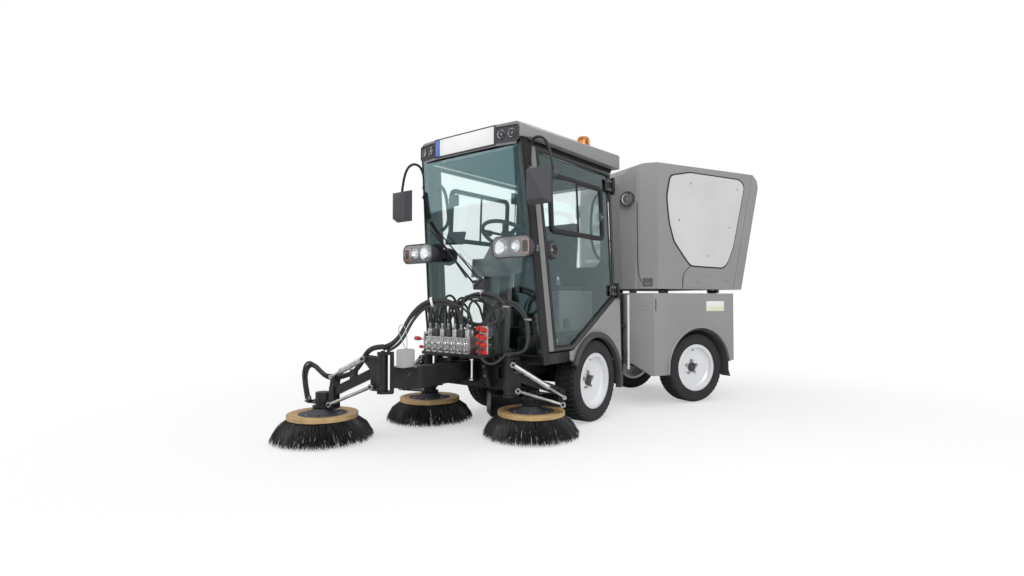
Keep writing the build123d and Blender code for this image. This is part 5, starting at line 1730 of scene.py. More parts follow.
@dataclass
class Interior:
    """What shows through the glass: seat, rails, fan, inner mirror and the wheel's knob."""

    seat_x: tuple[float, float] = (-235.0, 175.0)

    def build(self) -> None:
        """Makes the interior's pieces."""
        self._seat()
        ON_CAB.hand_over(self._rails(), "grab_rails", BLACK_PAINT, (), 40)
        ON_CAB.hand_over(self._instruments(), "cab_instruments", None, (), 35)
        ON_CAB.hand_over(
            softened("dashboard", CAB, 10, 3), "dashboard_shell", COLUMN_GREY, ["dashboard"],
            40
        )
        ON_CAB.hand_over(self._wheel(), "steering_wheel_rim", None, ["steering_wheel"], 40)
        ON_CAB.hand_over(self._lining(), "roof_lining", CABIN_GREY, (), 40)

    def _seat(self) -> None:
        """Makes the stuffed cushion and back on a moulded pan."""
        low, high = self.seat_x
        pan = block((low + 6, -190, 800), (high - 6, 235, 838))
        base = block((-150, -40, 441), (150, 280, 804))
        with Bench(base) as bench:
            bench.faces(FACES_DOWN)
            bench.resize((1.1, 1.06, 1), (0, 120, 441))
        back = slab(
            [(low + 14, y, z) for y, z in ((236, 840), (262, 840), (326, 1440), (306, 1470), (296, 1440))],
            (high - low - 28, 0, 0)
        )
        shell = joined([rounded(pan, 12, 4), rounded(base, 14, 3), rounded(back, 8, 3)])
        ON_CAB.hand_over(shell, "seat_shell", CABIN_GREY, ["seat"], 40)
        cushion = block((low + 8, -208, 842), (high - 8, 196, 912))
        with Bench(cushion) as bench:
            bench.points(lambda point: point.y < -150 and point.z < 860)
            bench.move((0, 18, 0))
        rest = slab(
            [
                (low + 8, y, z)
                for y, z in ((196, 925), (262, 925), (300, 1420), (286, 1470), (262, 1476), (236, 1450))
            ],
            (high - low - 16, 0, 0)
        )
        for piece, name in ((cushion, "seat_cushion"), (rest, "seat_back")):
            pad = stuffed(moved(rounded(piece, 22, 4), CAB), cap=0.010)
            ON_CAB.hand_over(pad, name, SEAT_CLOTH, (), 60, METRES)
        ribs = []
        for z in (1010, 1110, 1210, 1310):
            y = 196 + 0.126 * (z - 925) - 6
            ribs.append(tube(
                [(low + 26, y + 8, z), (low + 60, y, z), (high - 60, y, z), (high - 26, y + 8, z)], 2.2,
                True, 2
            ))
        for x in (low + 100, high - 100):
            ribs.append(tube([(x, -196, 905), (x, -150, 921), (x, 120, 921), (x, 180, 918)], 2.2, True, 2))
        ON_CAB.hand_over(joined(ribs), "seat_piping", GASKET, (), 60)

    def _rails(self) -> Piece:
        """Bends the grab rails inside the front pillars and over the seat.

        Returns:
            The rails.
        """
        parts = []
        for side in SIDES:
            line = [
                (-410, -676, 1700), (-352, -672, 1668), (-326, -664, 1600), (-322, -648, 1500),
                (-328, -636, 1420), (-368, -634, 1374), (-410, -640, 1352)
            ]
            if side > 0:
                line = [(-x, y, z) for x, y, z in line]
            parts.append(hose(line, 12))
        for x in (-330, 330):
            parts.append(hose(
                [(x, 340, 1180), (x, 250, 1230), (x, 210, 1420), (x, 250, 1640), (x, 340, 1690)], 11
            ))
        return joined(parts)

    def _instruments(self) -> Piece:
        """Makes the inner mirror, the fan, the display and the levers.

        Returns:
            The instruments.
        """
        mirror = block((-300, -664, 1520), (-212, -648, 1600))
        stem = tube([(-326, -664, 1580), (-300, -652, 1566), (-262, -650, 1560)], 5)
        fan = [painted(
            turned(
                [
                    (-14, 0.01), (-14, 56), (10, 62), (24, 62), (28, 56), (24, 50), (12, 46), (6, 20),
                    (14, 12), (14, 0.01)
                ],
                (-333, -620, 1168), Vector((0.25, -1, 0)), 36
            ),
            BLACK_PLASTIC
        )]
        for count in range(4):
            turn = math.tau * count / 4
            blade = block((10, -12, -2), (48, 12, 1))
            spot = (
                plane_at((-333, -640, 1168), (0.25, -1, 0), (1, 0, 0)) @ Matrix.Rotation(turn, 4, "Z")
                @ Matrix.Rotation(0.4, 4, "X")
            )
            fan.append(painted(moved(blade, spot), DARK_PLASTIC))
        fan.append(painted(
            tube([(-333, -615, 1168), (-360, -618, 1150), (-400, -640, 1140)], 9), BLACK_PAINT
        ))
        display = block((-70, -48, -9), (70, 48, 9))
        with Bench(display) as bench:
            bench.faces(FACES_UP)
            bench.inset(10)
            bench.inset(0.5, -2)
        spot = plane_at((-293, -600, 1303), (0.25, -0.9, 0.4), (1, 0.2, 0))
        screens = [painted(moved(rounded(display, 5, 3), spot), BLACK_PLASTIC)]
        for z in (-22, 0, 22):
            screens.append(painted(
                moved(rounded(block((-52, z - 6, 8), (52, z + 6, 10.5)), 1), spot), DARK_PLASTIC
            ))
        lever = [painted(tube([(228, -60, 930), (228, -72, 1000), (232, -84, 1040)], 8), CHROME)]
        lever.append(painted(
            rounded(rod((232, -82, 1030), (234, -92, 1072), 17, 20, 14), 6, 3), BLACK_PLASTIC
        ))
        arm = rounded(block((186, -150, 930), (276, 200, 962)), 14, 4)
        keys = [
            rounded(block((205 + 20 * k, -110 + 30 * j, 961), (219 + 20 * k, -92 + 30 * j, 967)), 2)
            for j in range(3) for k in range(3)
        ]
        return joined([
            painted(rounded(mirror, 6, 3), BLACK_PLASTIC), painted(stem, BLACK_PAINT), *fan, *screens,
            *lever, painted(arm, DARK_PLASTIC), *[painted(key, GASKET) for key in keys]
        ])

    def _wheel(self) -> Piece:
        """Makes the steering wheel with its spokes, boss, column and knob.

        Returns:
            The wheel.
        """
        tilt = math.radians(28)
        spot = plane_at((0, -372, 1318), (0, math.sin(tilt), math.cos(tilt)), (1, 0, 0))
        rim = start(
            bpy.ops.mesh.primitive_torus_add, major_radius=188, minor_radius=14, major_segments=56,
            minor_segments=14
        )
        boss = turned(
            [(-22, 0.01), (-22, 30), (0, 50), (12, 52), (18, 46), (20, 0.01)], (0, 0, 0), Axis.Z.value, 40
        )
        parts = [painted(rim, BLACK_PLASTIC), painted(boss, DARK_PLASTIC)]
        for turn in (90, 210, 330):
            spoke = block((38, -13, -5), (182, 13, 3))
            with Bench(spoke) as bench:
                bench.faces(FACES_LEFT)
                bench.resize((1, 1.5, 1), (182, 0, 0))
            parts.append(painted(
                moved(rounded(spoke, 3, 3), Matrix.Rotation(math.radians(turn), 4, "Z")), DARK_PLASTIC
            ))
        knob = turned(
            [(8, 0.01), (8, 9), (22, 9), (26, 20), (42, 24), (56, 18), (60, 0.01)], (0, 0, 0), Axis.Z.value,
            28
        )
        parts.append(painted(moved(knob, Matrix.Translation((-186, 0, 0))), BLACK_PLASTIC))
        column = rod((0, 0, -60), (0, 0, -10), 20, 24, 27)
        parts.append(painted(column, BLACK_PLASTIC))
        return moved(joined(parts), spot)

    def _lining(self) -> Piece:
        """Makes the moulded lining under the roof.

        Returns:
            The lining.
        """
        lining = block((-400, -640, 1838), (400, 310, 1856))
        with Bench(lining) as bench:
            bench.faces(FACES_DOWN)
            bench.inset(60, 0)
            bench.inset(30, -9)
        return rounded(lining, 5, 2)


def stuffed(pad: Piece, voxel: float = 0.006, cap: float = 0.010) -> Piece:
    """Swells a pad by a cloth simulation with pressure, and keeps it near its shape.

    Args:
        pad: The pad, in metres.
        voxel: The remesh size.
        cap: How far a point may move.

    Returns:
        The same pad.
    """
    modified(pad, "REMESH", mode="VOXEL", voxel_size=voxel)
    before = np.empty(len(pad.data.vertices) * 3)
    pad.data.vertices.foreach_get("co", before)
    cloth = pad.modifiers.new("cloth", "CLOTH")
    cloth.settings.use_pressure = True
    cloth.settings.uniform_pressure_force = 4.0
    cloth.settings.effector_weights.gravity = 0.0
    for count in range(1, 21):
        bpy.context.scene.frame_set(count)
    bpy.ops.object.select_all(action="DESELECT")
    pad.select_set(True)
    bpy.context.view_layer.objects.active = pad
    bpy.ops.object.modifier_apply(modifier=cloth.name)
    bpy.context.scene.frame_set(1)
    after = np.empty_like(before)
    pad.data.vertices.foreach_get("co", after)
    step = (after - before).reshape(-1, 3)
    far = np.linalg.norm(step, axis=1, keepdims=True)
    step *= np.minimum(1.0, cap / np.maximum(far, 1e-9))
    pad.data.vertices.foreach_set("co", (before.reshape(-1, 3) + step).ravel())
    pad.data.update()
    return modified(pad, "SUBSURF", levels=1, render_levels=1)


# Front carrier with its valves and hoses


def smooth_route(points: Sequence[Point], along: int = 8) -> list[Vector]:
    """Reads the points of a smooth route.

    Args:
        points: The route's control points.
        along: Steps for each point.

    Returns:
        Points on the curve.
    """
    curve = bpy.data.curves.new("route", "CURVE")
    curve.dimensions = "3D"
    spline = curve.splines.new("NURBS")
    spline.points.add(len(points) - 1)
    for held, point in zip(spline.points, points):
        held.co = (*point, 1)
    spline.order_u = 3
    spline.use_endpoint_u = True
    curve.resolution_u = along
    holder = bpy.data.objects.new("route", curve)
    bpy.context.collection.objects.link(holder)
    mesh = bpy.data.meshes.new_from_object(holder)
    places = [v.co.copy() for v in mesh.vertices]
    bpy.data.objects.remove(holder)
    bpy.data.meshes.remove(mesh)
    return places


def spiral(points: Sequence[Point], radius: float, pitch: float, wire: float, sides: int = 12) -> Piece:
    """Winds a guard round a hose's route.

    Args:
        points: The route's control points.
        radius: The winding's radius.
        pitch: How far it runs on in one turn.
        wire: The guard's own radius.
        sides: Steps in one turn.

    Returns:
        The guard.
    """
    route = smooth_route(points, 10)
    turns, line = 0.0, []
    up = Vector((0, 0, 1))
    for here, there in zip(route, route[1:]):
        way = there - here
        steps = max(1, round(way.length / pitch * sides))
        ahead = way.normalized()
        side = ahead.cross(up)
        side = side.normalized() if side.length > 0.05 else Vector((1, 0, 0))
        over = side.cross(ahead)
        for step in range(steps):
            turn = math.tau * turns
            line.append(
                here + way * (step / steps) + (side * math.cos(turn) + over * math.sin(turn)) * radius
            )
            turns += way.length / steps / pitch
    return tube(line, wire, False, 2)


def fitting(foot: Point, way: Point, radius: float = 9.0, length: float = 26.0) -> Piece:
    """A zinc hose fitting: hexagon, collar and ferrule.

    Args:
        foot: Where it is screwed in.
        way: Which way it points.
        radius: The hose's radius.
        length: Its length.

    Returns:
        The fitting.
    """
    hexagon = rod((0, 0, 0), (0, 0, length * 0.4), radius * 1.35, 6)
    collar = rod((0, 0, length * 0.4), (0, 0, length * 0.55), radius * 0.9, 16)
    ferrule = rod((0, 0, length * 0.55), (0, 0, length), radius * 1.2, 16, radius * 1.1)
    return painted(
        moved(joined([hexagon, collar, ferrule]), plane_at(foot, way, Vector(way).orthogonal())), ZINC
    )


@dataclass
class ValveGear:
    """The tray in front of the cab with the valves, the couplers and the hand levers."""

    valve_x: tuple[float, ...] = (-165.0, -110.0, -55.0, 0.0, 55.0, 110.0, 165.0)
    tray_z: float = 512.0

    def build(self) -> None:
        """Makes the gear and the hoses."""
        ON_CAB.hand_over(
            joined([*self._tray(), *self._valves(), *self._couplers(), *self._levers()]), "valve_gear",
            None, ["manifold"], 35
        )
        ON_CAB.hand_over(self._short_hoses(), "valve_hoses", RUBBER, ["front_hoses"], 60)
        ON_CAB.hand_over(self._loops(), "hose_loops", RUBBER, (), 60)
        ON_CAB.hand_over(self._clips(), "hose_clips", ZINC, (), 40)

    def _tray(self) -> list[Piece]:
        """Makes the folded tray and its two feet.

        Returns:
            The parts.
        """
        z = self.tray_z
        tray = block((-210, -1000, z), (300, -800, z + 20))
        with Bench(tray) as bench:
            bench.faces(FACES_UP)
            bench.inset(5)
            bench.inset(0.2, -12)
        parts = [painted(rounded(tray, 2), BLACK_PAINT)]
        for x in (-150, 150):
            foot = slab(
                [
                    (x - 20, -732.5, 300), (x - 20, -732.5, z), (x - 20, -812, z), (x - 20, -800, 400),
                    (x - 20, -752, 300)
                ],
                (40, 0, 0)
            )
            parts.append(painted(rounded(foot, 3), BLACK_PAINT))
            parts.append(Bolt(8, 6).at([((x, -801, 440), (0, -1, 0)), ((x, -790, 380), (0, -1, 0))]))
        return parts

    def _valves(self) -> list[Piece]:
        """Makes the row of valve slices with their coils, caps and fittings.

        Returns:
            The parts.
        """
        parts = []
        for count, x in enumerate(self.valve_x):
            slice_ = block((x - 25, -985, 524), (x + 25, -905, 628))
            with Bench(slice_) as bench:
                bench.faces(FACES_FRONT)
                bench.inset(7)
                bench.inset(1, -4)
            parts.append(painted(rounded(slice_, 3), ALUMINIUM))
            coil = rod((x, -962, 628), (x, -962, 676), 18, 24)
            parts.append(painted(rounded(coil, 4), BLACK_PLASTIC if count % 2 else ALUMINIUM))
            parts.append(painted(rounded(rod((x, -962, 676), (x, -962, 688), 12, 6), 1.5), ZINC))
            parts.append(fitting((x, -962, 686), (0, 0, 1), 9, 27))
            parts.append(painted(rounded(rod((x, -925, 628), (x, -925, 668), 13, 20), 3), ALUMINIUM))
            parts.append(painted(rounded(rod((x, -925, 668), (x, -925, 680), 9, 6), 1.5), ZINC))
            for z, radius in ((590, 13), (552, 10)):
                cap = turned(
                    [
                        (0, radius + 2), (4, radius + 2), (6, radius), (20, radius), (24, radius * 0.7),
                        (25, 0.01)
                    ],
                    (x, -981, z), Vector((0, -1, 0)), 24
                )
                parts.append(painted(cap, CHROME if z > 560 else ZINC))
        for x in (-205, 193):
            end = block((x, -990, 522), (x + 12, -900, 640))
            parts.append(painted(rounded(end, 3), ZINC))
        for z in (545, 610):
            parts.append(painted(rod((-205, -916, z), (205, -916, z), 5, 10), ZINC))
        return parts

    def _couplers(self) -> list[Piece]:
        """Makes the plate of red quick couplers and the filter beside it.

        Returns:
            The parts.
        """
        plate = block((230, -934, 520), (296, -920, 702))
        back = block((236, -920, 520), (292, -852, 560))
        parts = [painted(rounded(plate, 5, 3), ALUMINIUM), painted(rounded(back, 3), BLACK_PAINT)]
        profile = [
            (0, 9), (6, 12), (8, 17), (14, 17.5), (16, 15.5), (22, 15.5), (24, 17.5), (32, 17), (35, 12),
            (44, 11), (45, 0.01)
        ]
        for column, x in enumerate((246, 280)):
            for z in (546, 592, 638, 684):
                sleeve = turned(profile, (x, -930, z - 8 * column), Vector((0.15, -1, 0.12)), 24)
                parts.append(painted(sleeve, RED_PLASTIC))
                parts.append(painted(
                    rod((x, -920, z - 8 * column), (x, -886, z - 8 * column + 4), 9, 12), ZINC
                ))
        bowl = turned(
            [(0, 0.01), (0, 28), (8, 31), (70, 31), (78, 26), (84, 20), (84, 0.01)], (268, -884, 640),
            Vector((0, 0, 1)), 28
        )
        parts.append(painted(bowl, BLACK_PLASTIC))
        parts.append(box((-206, -985, 640), (-150, -930, 656), 3, ZINC))
        body = [(-196, -838, 524), (-90, -838, 524), (10, -838, 524)]
        for x, y, z in body:
            parts.append(box((x, y - 34, z), (x + 74, y + 24, z + 92), 6, ALUMINIUM, 3))
            parts.append(painted(
                rounded(rod((x + 37, y - 5, z + 92), (x + 37, y - 5, z + 132), 16, 20), 4), ZINC
            ))
        return parts

    def _levers(self) -> list[Piece]:
        """Makes the two red hand levers at the row's end.

        Returns:
            The parts.
        """
        grip = [(0, 0.01), (0, 7), (8, 10), (24, 14), (52, 14.5), (60, 12), (64, 0.01)]
        pin = [
            (0, 0.01), (0, 16), (8, 17), (12, 10), (118, 10), (122, 15), (134, 15), (137, 12), (137, 0.01)
        ]
        parts = [
            painted(turned(pin, (100, -858, 354), Axis.Z.value, 24), CHROME),
            painted(rod((-200, -945, 600), (-278, -945, 604), 5, 10), ZINC),
            painted(turned(grip, (-272, -945, 604), Vector((-1, 0, 0.03)), 24), RED_PLASTIC),
            painted(rod((-200, -950, 548), (-236, -962, 552), 4.5, 10), ZINC),
            painted(
                turned(
                    [(along * 0.55, radius * 0.72) for along, radius in grip], (-232, -960, 552),
                    Vector((-1, -0.2, 0.1)), 20
                ),
                RED_PLASTIC
            )
        ]
        return parts

    def _short_hoses(self) -> Piece:
        """Runs the hoses from the valves over to the frame behind them.

        Returns:
            The hoses.
        """
        parts = []
        for count, x in enumerate(self.valve_x):
            lift = 842 + 16 * (count % 3)
            foot = x + (45 if x > 0 else -45 if x < 0 else 0)
            low = 461 if x else 488
            parts.append(hose(
                [
                    (x, -962, 708), (x, -961, 790), (x + 6, -950, lift),
                    (x + 4, -900, lift + 22 - 7 * (count % 2)), (foot, -800, lift - 10),
                    (foot, -750, lift - 120), (foot, -716, 640), (foot, -714, low)
                ],
                7.5
            ))
        for x, bend in ((-160, -40), (-53, 20), (47, -20)):
            parts.append(tube(
                [
                    (x, -843, 650), (x, -846, 700), (x + bend, -870, 770), (x + bend * 2, -905, 780),
                    (x + bend, -925, 720), (x + bend * 0.4, -926, 678)
                ],
                6, True, 3, 6
            ))
        return joined(parts)

    def _loops(self) -> Piece:
        """Runs the large oval loops over the valves and the hoses down to the left arm.

        Returns:
            The hoses.
        """
        parts = []
        oval = [
            (40, -925, 700), (12, -925, 770), (40, -912, 840), (120, -902, 890), (224, -896, 906),
            (330, -890, 886), (404, -886, 830), (392, -886, 768), (320, -890, 724), (225, -896, 706),
            (120, -905, 718), (60, -918, 760)
        ]
        for shift, radius in (((0, 0, 0), 9.5), ((-16, 22, -12), 8), ((-34, -14, -26), 6.5)):
            parts.append(hose([Vector(p) + Vector(shift) for p in oval], radius))
        right = [
            (262, -910, 706), (300, -890, 800), (372, -862, 852), (450, -835, 842), (505, -812, 760),
            (512, -800, 650), (486, -796, 560), (420, -800, 536), (368, -806, 530)
        ]
        for shift, radius in (((0, 0, 0), 8), ((-14, -16, -20), 6.5), ((-26, 8, 10), 5)):
            parts.append(hose(
                [Vector(p) + Vector(shift) * (1 - n / 8) for n, p in enumerate(right)], radius
            ))
        drop = [
            (264, -968, 596), (280, -1000, 560), (300, -985, 500), (330, -930, 470), (350, -870, 500),
            (356, -830, 530)
        ]
        parts.append(hose(drop, 7))
        feed = [
            (-150, -925, 678), (-190, -940, 760), (-250, -930, 820), (-300, -880, 800), (-340, -830, 700),
            (-356, -808, 600), (-356, -806, 530)
        ]
        parts.append(hose(feed, 8))
        parts.append(hose([Vector(p) + Vector((14, 12, 22)) for p in feed], 6.5))
        for x in (355, -355):
            parts.append(rounded(block((x - 24, -830, 513), (x + 24, -782, 538)), 6, 3))
        return joined(parts)

    def _clips(self) -> Piece:
        """Sets the bands that hold the loops together.

        Returns:
            The bands.
        """
        bands = []
        for foot, way in (
            ((224, -893, 900), (1, 0, 0)), ((398, -880, 822), (0.1, 0, 1)), ((505, -806, 745), (0.1, 0, 1))
        ):
            bands.append(moved(
                turned([(-5, 20), (-5, 23), (5, 23), (5, 20), (-5, 20)], (0, 0, 0), Axis.Z.value, 24),
                plane_at(foot, way, (0, 1, 0))
            ))
        return joined(bands)


# Rear module


@dataclass
class RearShell:
    """The hopper module: body, hopper and its door, with what is fixed on their outside."""

    half: float = 545.0
    wheel_y: float = 1500.0
    wheel_z: float = 290.0
    body_front: tuple[float, float] = (400.0, 860.0)
    panel: tuple[tuple[float, float], ...] = (
        (1186, 1879), (1148, 1710), (1172, 1498), (1221, 1345), (1303, 1249), (1395, 1150), (1760, 1140),
        (1816, 1192), (1880, 1330), (1975, 1690), (2018, 1866), (1960, 1915), (1392, 1922)
    )
    screws: tuple[tuple[float, float], ...] = (
        (1400, 1835), (1935, 1830), (1270, 1520), (1835, 1490), (1580, 1235)
    )

    def build(self) -> None:
        """Makes the module's pieces."""
        for name, make, slot in (
            ("rear_body_shell", self._body, "body_grey"),
            ("body_fittings", self._body_fittings, "black_plastic"),
            ("wheel_guards", self._guards, "black_plastic"), ("tail_lamps", self._tail_lamps, "lamp"),
            ("motor_cover", self._motor, "black_plastic")
        ):
            stands_for = {
                "rear_body_shell": ["rear_body"], "tail_lamps": ["rear_lamps"], "motor_cover": ["engine"]
            }.get(name, [])
            ON_REAR.hand_over(make(), name, None, stands_for, 30)
        for name, make, slot in (
            ("hopper_shell", self._hopper, "body_grey"), ("side_plates", self._plates, "silver"),
            ("hopper_fittings", self._hopper_fittings, "lamp")
        ):
            stands_for = {"hopper_shell": ["hopper"], "side_plates": ["hopper_panels"]}.get(name, [])
            ON_HOPPER.hand_over(make(), name, None, stands_for, 20)
        ON_HOPPER_DOOR.hand_over(self._door(), "hopper_door_shell", None, ["hopper_door"], 35)

    def _upright(self, piece: Piece, corners: Sequence[Point], width: float) -> Piece:
        """Rounds upright edges by place.

        Args:
            piece: The piece.
            corners: Where the edges stand, as X and Y of the left side.
            width: How wide.

        Returns:
            The same piece.
        """
        def stands(point: Vector) -> bool:
            return any(abs(abs(point.x) - x) < 9 and abs(point.y - y) < 9 for x, y in corners)

        eased(piece, lambda a, b: stands(a) and stands(b) and abs(a.z - b.z) > 40, width, 6)
        return piece

    def _body(self) -> Piece:
        """Softens the body and rounds its upright corners.

        Returns:
            The body.
        """
        shell = softened("rear_body", REAR, 4, 2, 50)
        shell = self._upright(shell, ((self.half, 1005), self.body_front, (self.half, 1880)), 30)
        return painted(shell, BODY_PAINT)

    def _body_fittings(self) -> Piece:
        """Makes the blank label, the slot, the recessed grip, the arch lips and the edge strips.

        Returns:
            The fittings of both sides.
        """
        x = self.half
        label = box((x - 2, 1566, 768), (x + 1.6, 1768, 852), 0.6, PLATE_WHITE)
        low = box((x - 2, 1568, 770), (x + 2.2, 1766, 806), 0.6, LABEL_PALE)
        slot = box((x - 6, 1020, 772), (x + 2, 1030, 868), 2, BLACK_PLASTIC)
        lip = turned(
            [
                (x - 3, 335), (x + 5, 337), (x + 8, 342), (x + 7, 351), (x + 2, 356), (x - 3, 357),
                (x - 3, 335)
            ],
            (0, self.wheel_y, self.wheel_z), Axis.X.value, 96
        )
        with Bench(lip) as bench:
            bench.cut((0, 0, 345), (0, 0, -1))
        front = slab(
            [(x - 3, self.wheel_y - y, z) for y, z in ((331, 345), (352, 345), (357, 258), (336, 258))],
            (9, 0, 0)
        )
        chamfer = plane_at((472.5, 932.5, 800), (1, -1, 0), (1, 1, 0))
        grip = block((-62, -24, -3), (62, 24, 3))
        with Bench(grip) as bench:
            bench.faces(FACES_UP)
            bench.inset(5)
            bench.inset(4, -10)
        strip = rounded(block((395, 850, 300), (409, 868, 905)), 3)
        rail = rounded(block((300, 846, 330), (338, 862, 912)), 4)
        catch = [rounded(block((348, 830, z), (400, 862, z + 22)), 4) for z in (372, 640)]
        parts = [
            label, low, slot, painted(lip, BODY_PAINT), painted(rounded(front, 2), BODY_PAINT),
            painted(strip, PLATE_WHITE), painted(moved(rounded(grip, 2), chamfer), BODY_PAINT),
            painted(rail, BLACK_PAINT), *[painted(c, BLACK_PLASTIC) for c in catch],
            Bolt(6, 3).at([((x - 1, y, 330), (1, 0, 0)) for y in (1060, 1120)])
        ]
        return both_sides(joined(parts))

    def _guards(self) -> Piece:
        """Makes the mudguards round the rear wheels and the flaps behind them.

        Returns:
            The guards.
        """
        guard = turned(
            [(300, 322), (536, 322), (536, 328), (300, 328), (300, 322)], (0, self.wheel_y, self.wheel_z),
            Axis.X.value, 72
        )
        with Bench(guard) as bench:
            bench.cut((0, 0, 250), (0, 0, -1))
        flap = slab(
            [(430, self.wheel_y + y, z) for y, z in ((321, 262), (330, 262), (352, 206), (344, 202))],
            (104, 0, 0)
        )
        bar = rounded(block((300, 1848, 330), (520, 1872, 360)), 4)
        return painted(both_sides(joined([guard, rounded(flap, 2), bar])), BLACK_PLASTIC)

    def _tail_lamps(self) -> Piece:
        """Makes the tall rear lamps with their three lenses.

        Returns:
            Both lamps.
        """
        shell = block((407, 1880.4, 535), (503, 1900, 745))
        eased(shell, lambda a, b: abs(a.y - b.y) > 10, 16, 4)
        parts = [painted(rounded(shell, 3), BLACK_PLASTIC)]
        for z, high, finish in ((543, 58, CLEAR_LENS), (607, 62, ORANGE_LENS), (675, 62, RED_LENS)):
            back = turned(
                [(0, 0.01), (1, 22), (7, 27), (8, 27)], (455, 1896, z + high / 2), Axis.Y.value, 28
            )
            lens = rounded(block((414, 1899, z), (496, 1911, z + high)), 6, 3)
            parts += [painted(back, REFLECTOR), painted(lens, finish)]
        plate = rounded(block((400, 1884, 430), (510, 1892, 500)), 3)
        parts.append(painted(plate, BLACK_PLASTIC))
        parts.append(painted(rounded(rod((455, 1888, 465), (455, 1900, 465), 24, 28), 3), RED_LENS))
        return both_sides(joined(parts))

    def _motor(self) -> Piece:
        """Shapes the motor block with its cover, head, pulley and filter.

        Returns:
            The motor.
        """
        case = block((-190, 1110, 410), (190, 1400, 640))
        head = block((-150, 1130, 636), (150, 1380, 740))
        with Bench(head) as bench:
            bench.faces(FACES_UP)
            bench.resize((0.82, 0.8, 1), (0, 1255, 740))
        parts = [painted(rounded(case, 14, 3), CAST_IRON), painted(rounded(head, 10, 3), ALUMINIUM)]
        for y in range(1150, 1370, 36):
            parts.append(box((-196, y, 440), (196, y + 8, 620), 2, CAST_IRON))
        parts.append(painted(
            turned(
                [(0, 0.01), (0, 84), (6, 90), (14, 82), (22, 90), (28, 84), (28, 20), (40, 18), (40, 0.01)],
                (0, 1406, 520), Axis.Y.value, 40
            ),
            DARK_PLASTIC
        ))
        parts.append(painted(rounded(rod((-60, 1180, 742), (120, 1180, 760), 26, 28), 6, 3), BLACK_PLASTIC))
        parts.append(painted(
            tube([(120, 1180, 760), (168, 1190, 752), (180, 1240, 700), (170, 1290, 660)], 14), RUBBER
        ))
        parts.append(Bolt(8, 6).at([
            ((x, y, 739), (0, 0, 1)) for x in (-100, 0, 100) for y in (1250, 1340)
        ]))
        return joined(parts)

    def _hopper(self) -> Piece:
        """Softens the hopper and rounds its upright front corners.

        Returns:
            The hopper.
        """
        shell = softened("hopper", REAR, 9, 3, 24)
        shell = self._upright(shell, ((430, 935), (290, 850)), 28)
        return painted(self._upright(shell, ((self.half, 1050),), 40), BODY_PAINT)

    def _outline(self, x: float, grow: float, thick: float, corner: float) -> Piece:
        """Makes a plate with the side panel's outline and round corners.

        Args:
            x: Where its inner face lies.
            grow: How far it reaches past the outline, as a factor.
            thick: How thick it is.
            corner: How far from each corner the rounding starts.

        Returns:
            The plate.
        """
        cy, cz = 1590.0, 1540.0
        plate = slab(
            [(x, cy + (y - cy) * grow, cz + (z - cz) * grow) for y, z in self.panel], (thick, 0, 0)
        )
        eased(plate, lambda a, b: abs(a.x - b.x) > thick * 0.8, corner, 4)
        return plate

    def _plates(self) -> Piece:
        """Makes the silver side plates on their dark gaskets, with their screws.

        Returns:
            Both plates.
        """
        x = self.half
        gasket = painted(self._outline(x - 3, 1.028, 5.2, 34), GASKET)
        plate = painted(rounded(self._outline(x + 1.5, 1.0, 3.6, 32), 0.9, 2), PANEL_SILVER)
        heads = Bolt(6, 1.8).at([((x + 5, y, z), (1, 0, 0)) for y, z in self.screws])
        return both_sides(joined([gasket, plate, heads]))

    def _hopper_fittings(self) -> Piece:
        """Makes the round lamps, the vents, the seams and the lower skirts.

        Returns:
            The fittings.
        """
        x = self.half
        parts = []
        out = Vector((85, -140, 0)).normalized()
        spot = plane_at(Vector((370, 898.6, 1690)) + out * 30, out, (1, 0.6, 0))
        ring = turned(
            [(-6, 62), (7, 63), (10, 60), (10, 54), (4, 52), (-6, 52), (-6, 62)], (0, 0, 0), Axis.Z.value,
            40
        )
        parts += [
            moved(painted(ring, BLACK_PLASTIC), spot),
            moved(lamp_bowl(53), spot @ Matrix.Translation((0, 0, 4)))
        ]
        vent_spot = plane_at((487.5, 992.5, 1005), (1, -1, 0), (1, 1, 0))
        vent = block((-38, -32, -4), (38, 32, 5))
        with Bench(vent) as bench:
            bench.faces(FACES_UP)
            bench.inset(8)
            bench.inset(1, -8)
        parts.append(moved(painted(rounded(vent, 3), BLACK_PLASTIC), vent_spot))
        for z in (-14, -4, 6, 16):
            parts.append(moved(box((-28, z - 2, -3), (28, z + 2, 3), 1, BLACK_PAINT), vent_spot))
        seam = [(x, 1395, 1146), (x, 1340, 1104), (x, 1312, 1062), (x, 1306, 1000), (x, 1306, 956)]
        parts.append(painted(tube(seam, 3, True, 2), GASKET))
        front = [
            (431.5, 934, 1660), (432, 934.5, 1400), (433, 935, 1120), (446, 950, 1020), (460, 962, 1000)
        ]
        parts.append(painted(tube(front, 2.6, True, 2), GASKET))
        skirt = slab(
            [
                (x - 2, y, z)
                for y, z in ((1318, 1062), (1846, 1062), (1872, 1100), (1860, 966), (1318, 966))
            ],
            (7, 0, 0)
        )
        with Bench(skirt) as bench:
            bench.points(lambda point: point.z < 1000)
            bench.move((-3.5, 0, 0))
        parts.append(painted(rounded(skirt, 2), BODY_PAINT))
        parts.append(Bolt(7, 3).at([((x + 2, 1480, 1010), (1, 0, 0)), ((x + 2, 1790, 1030), (1, 0, 0))]))
        return both_sides(joined(parts))

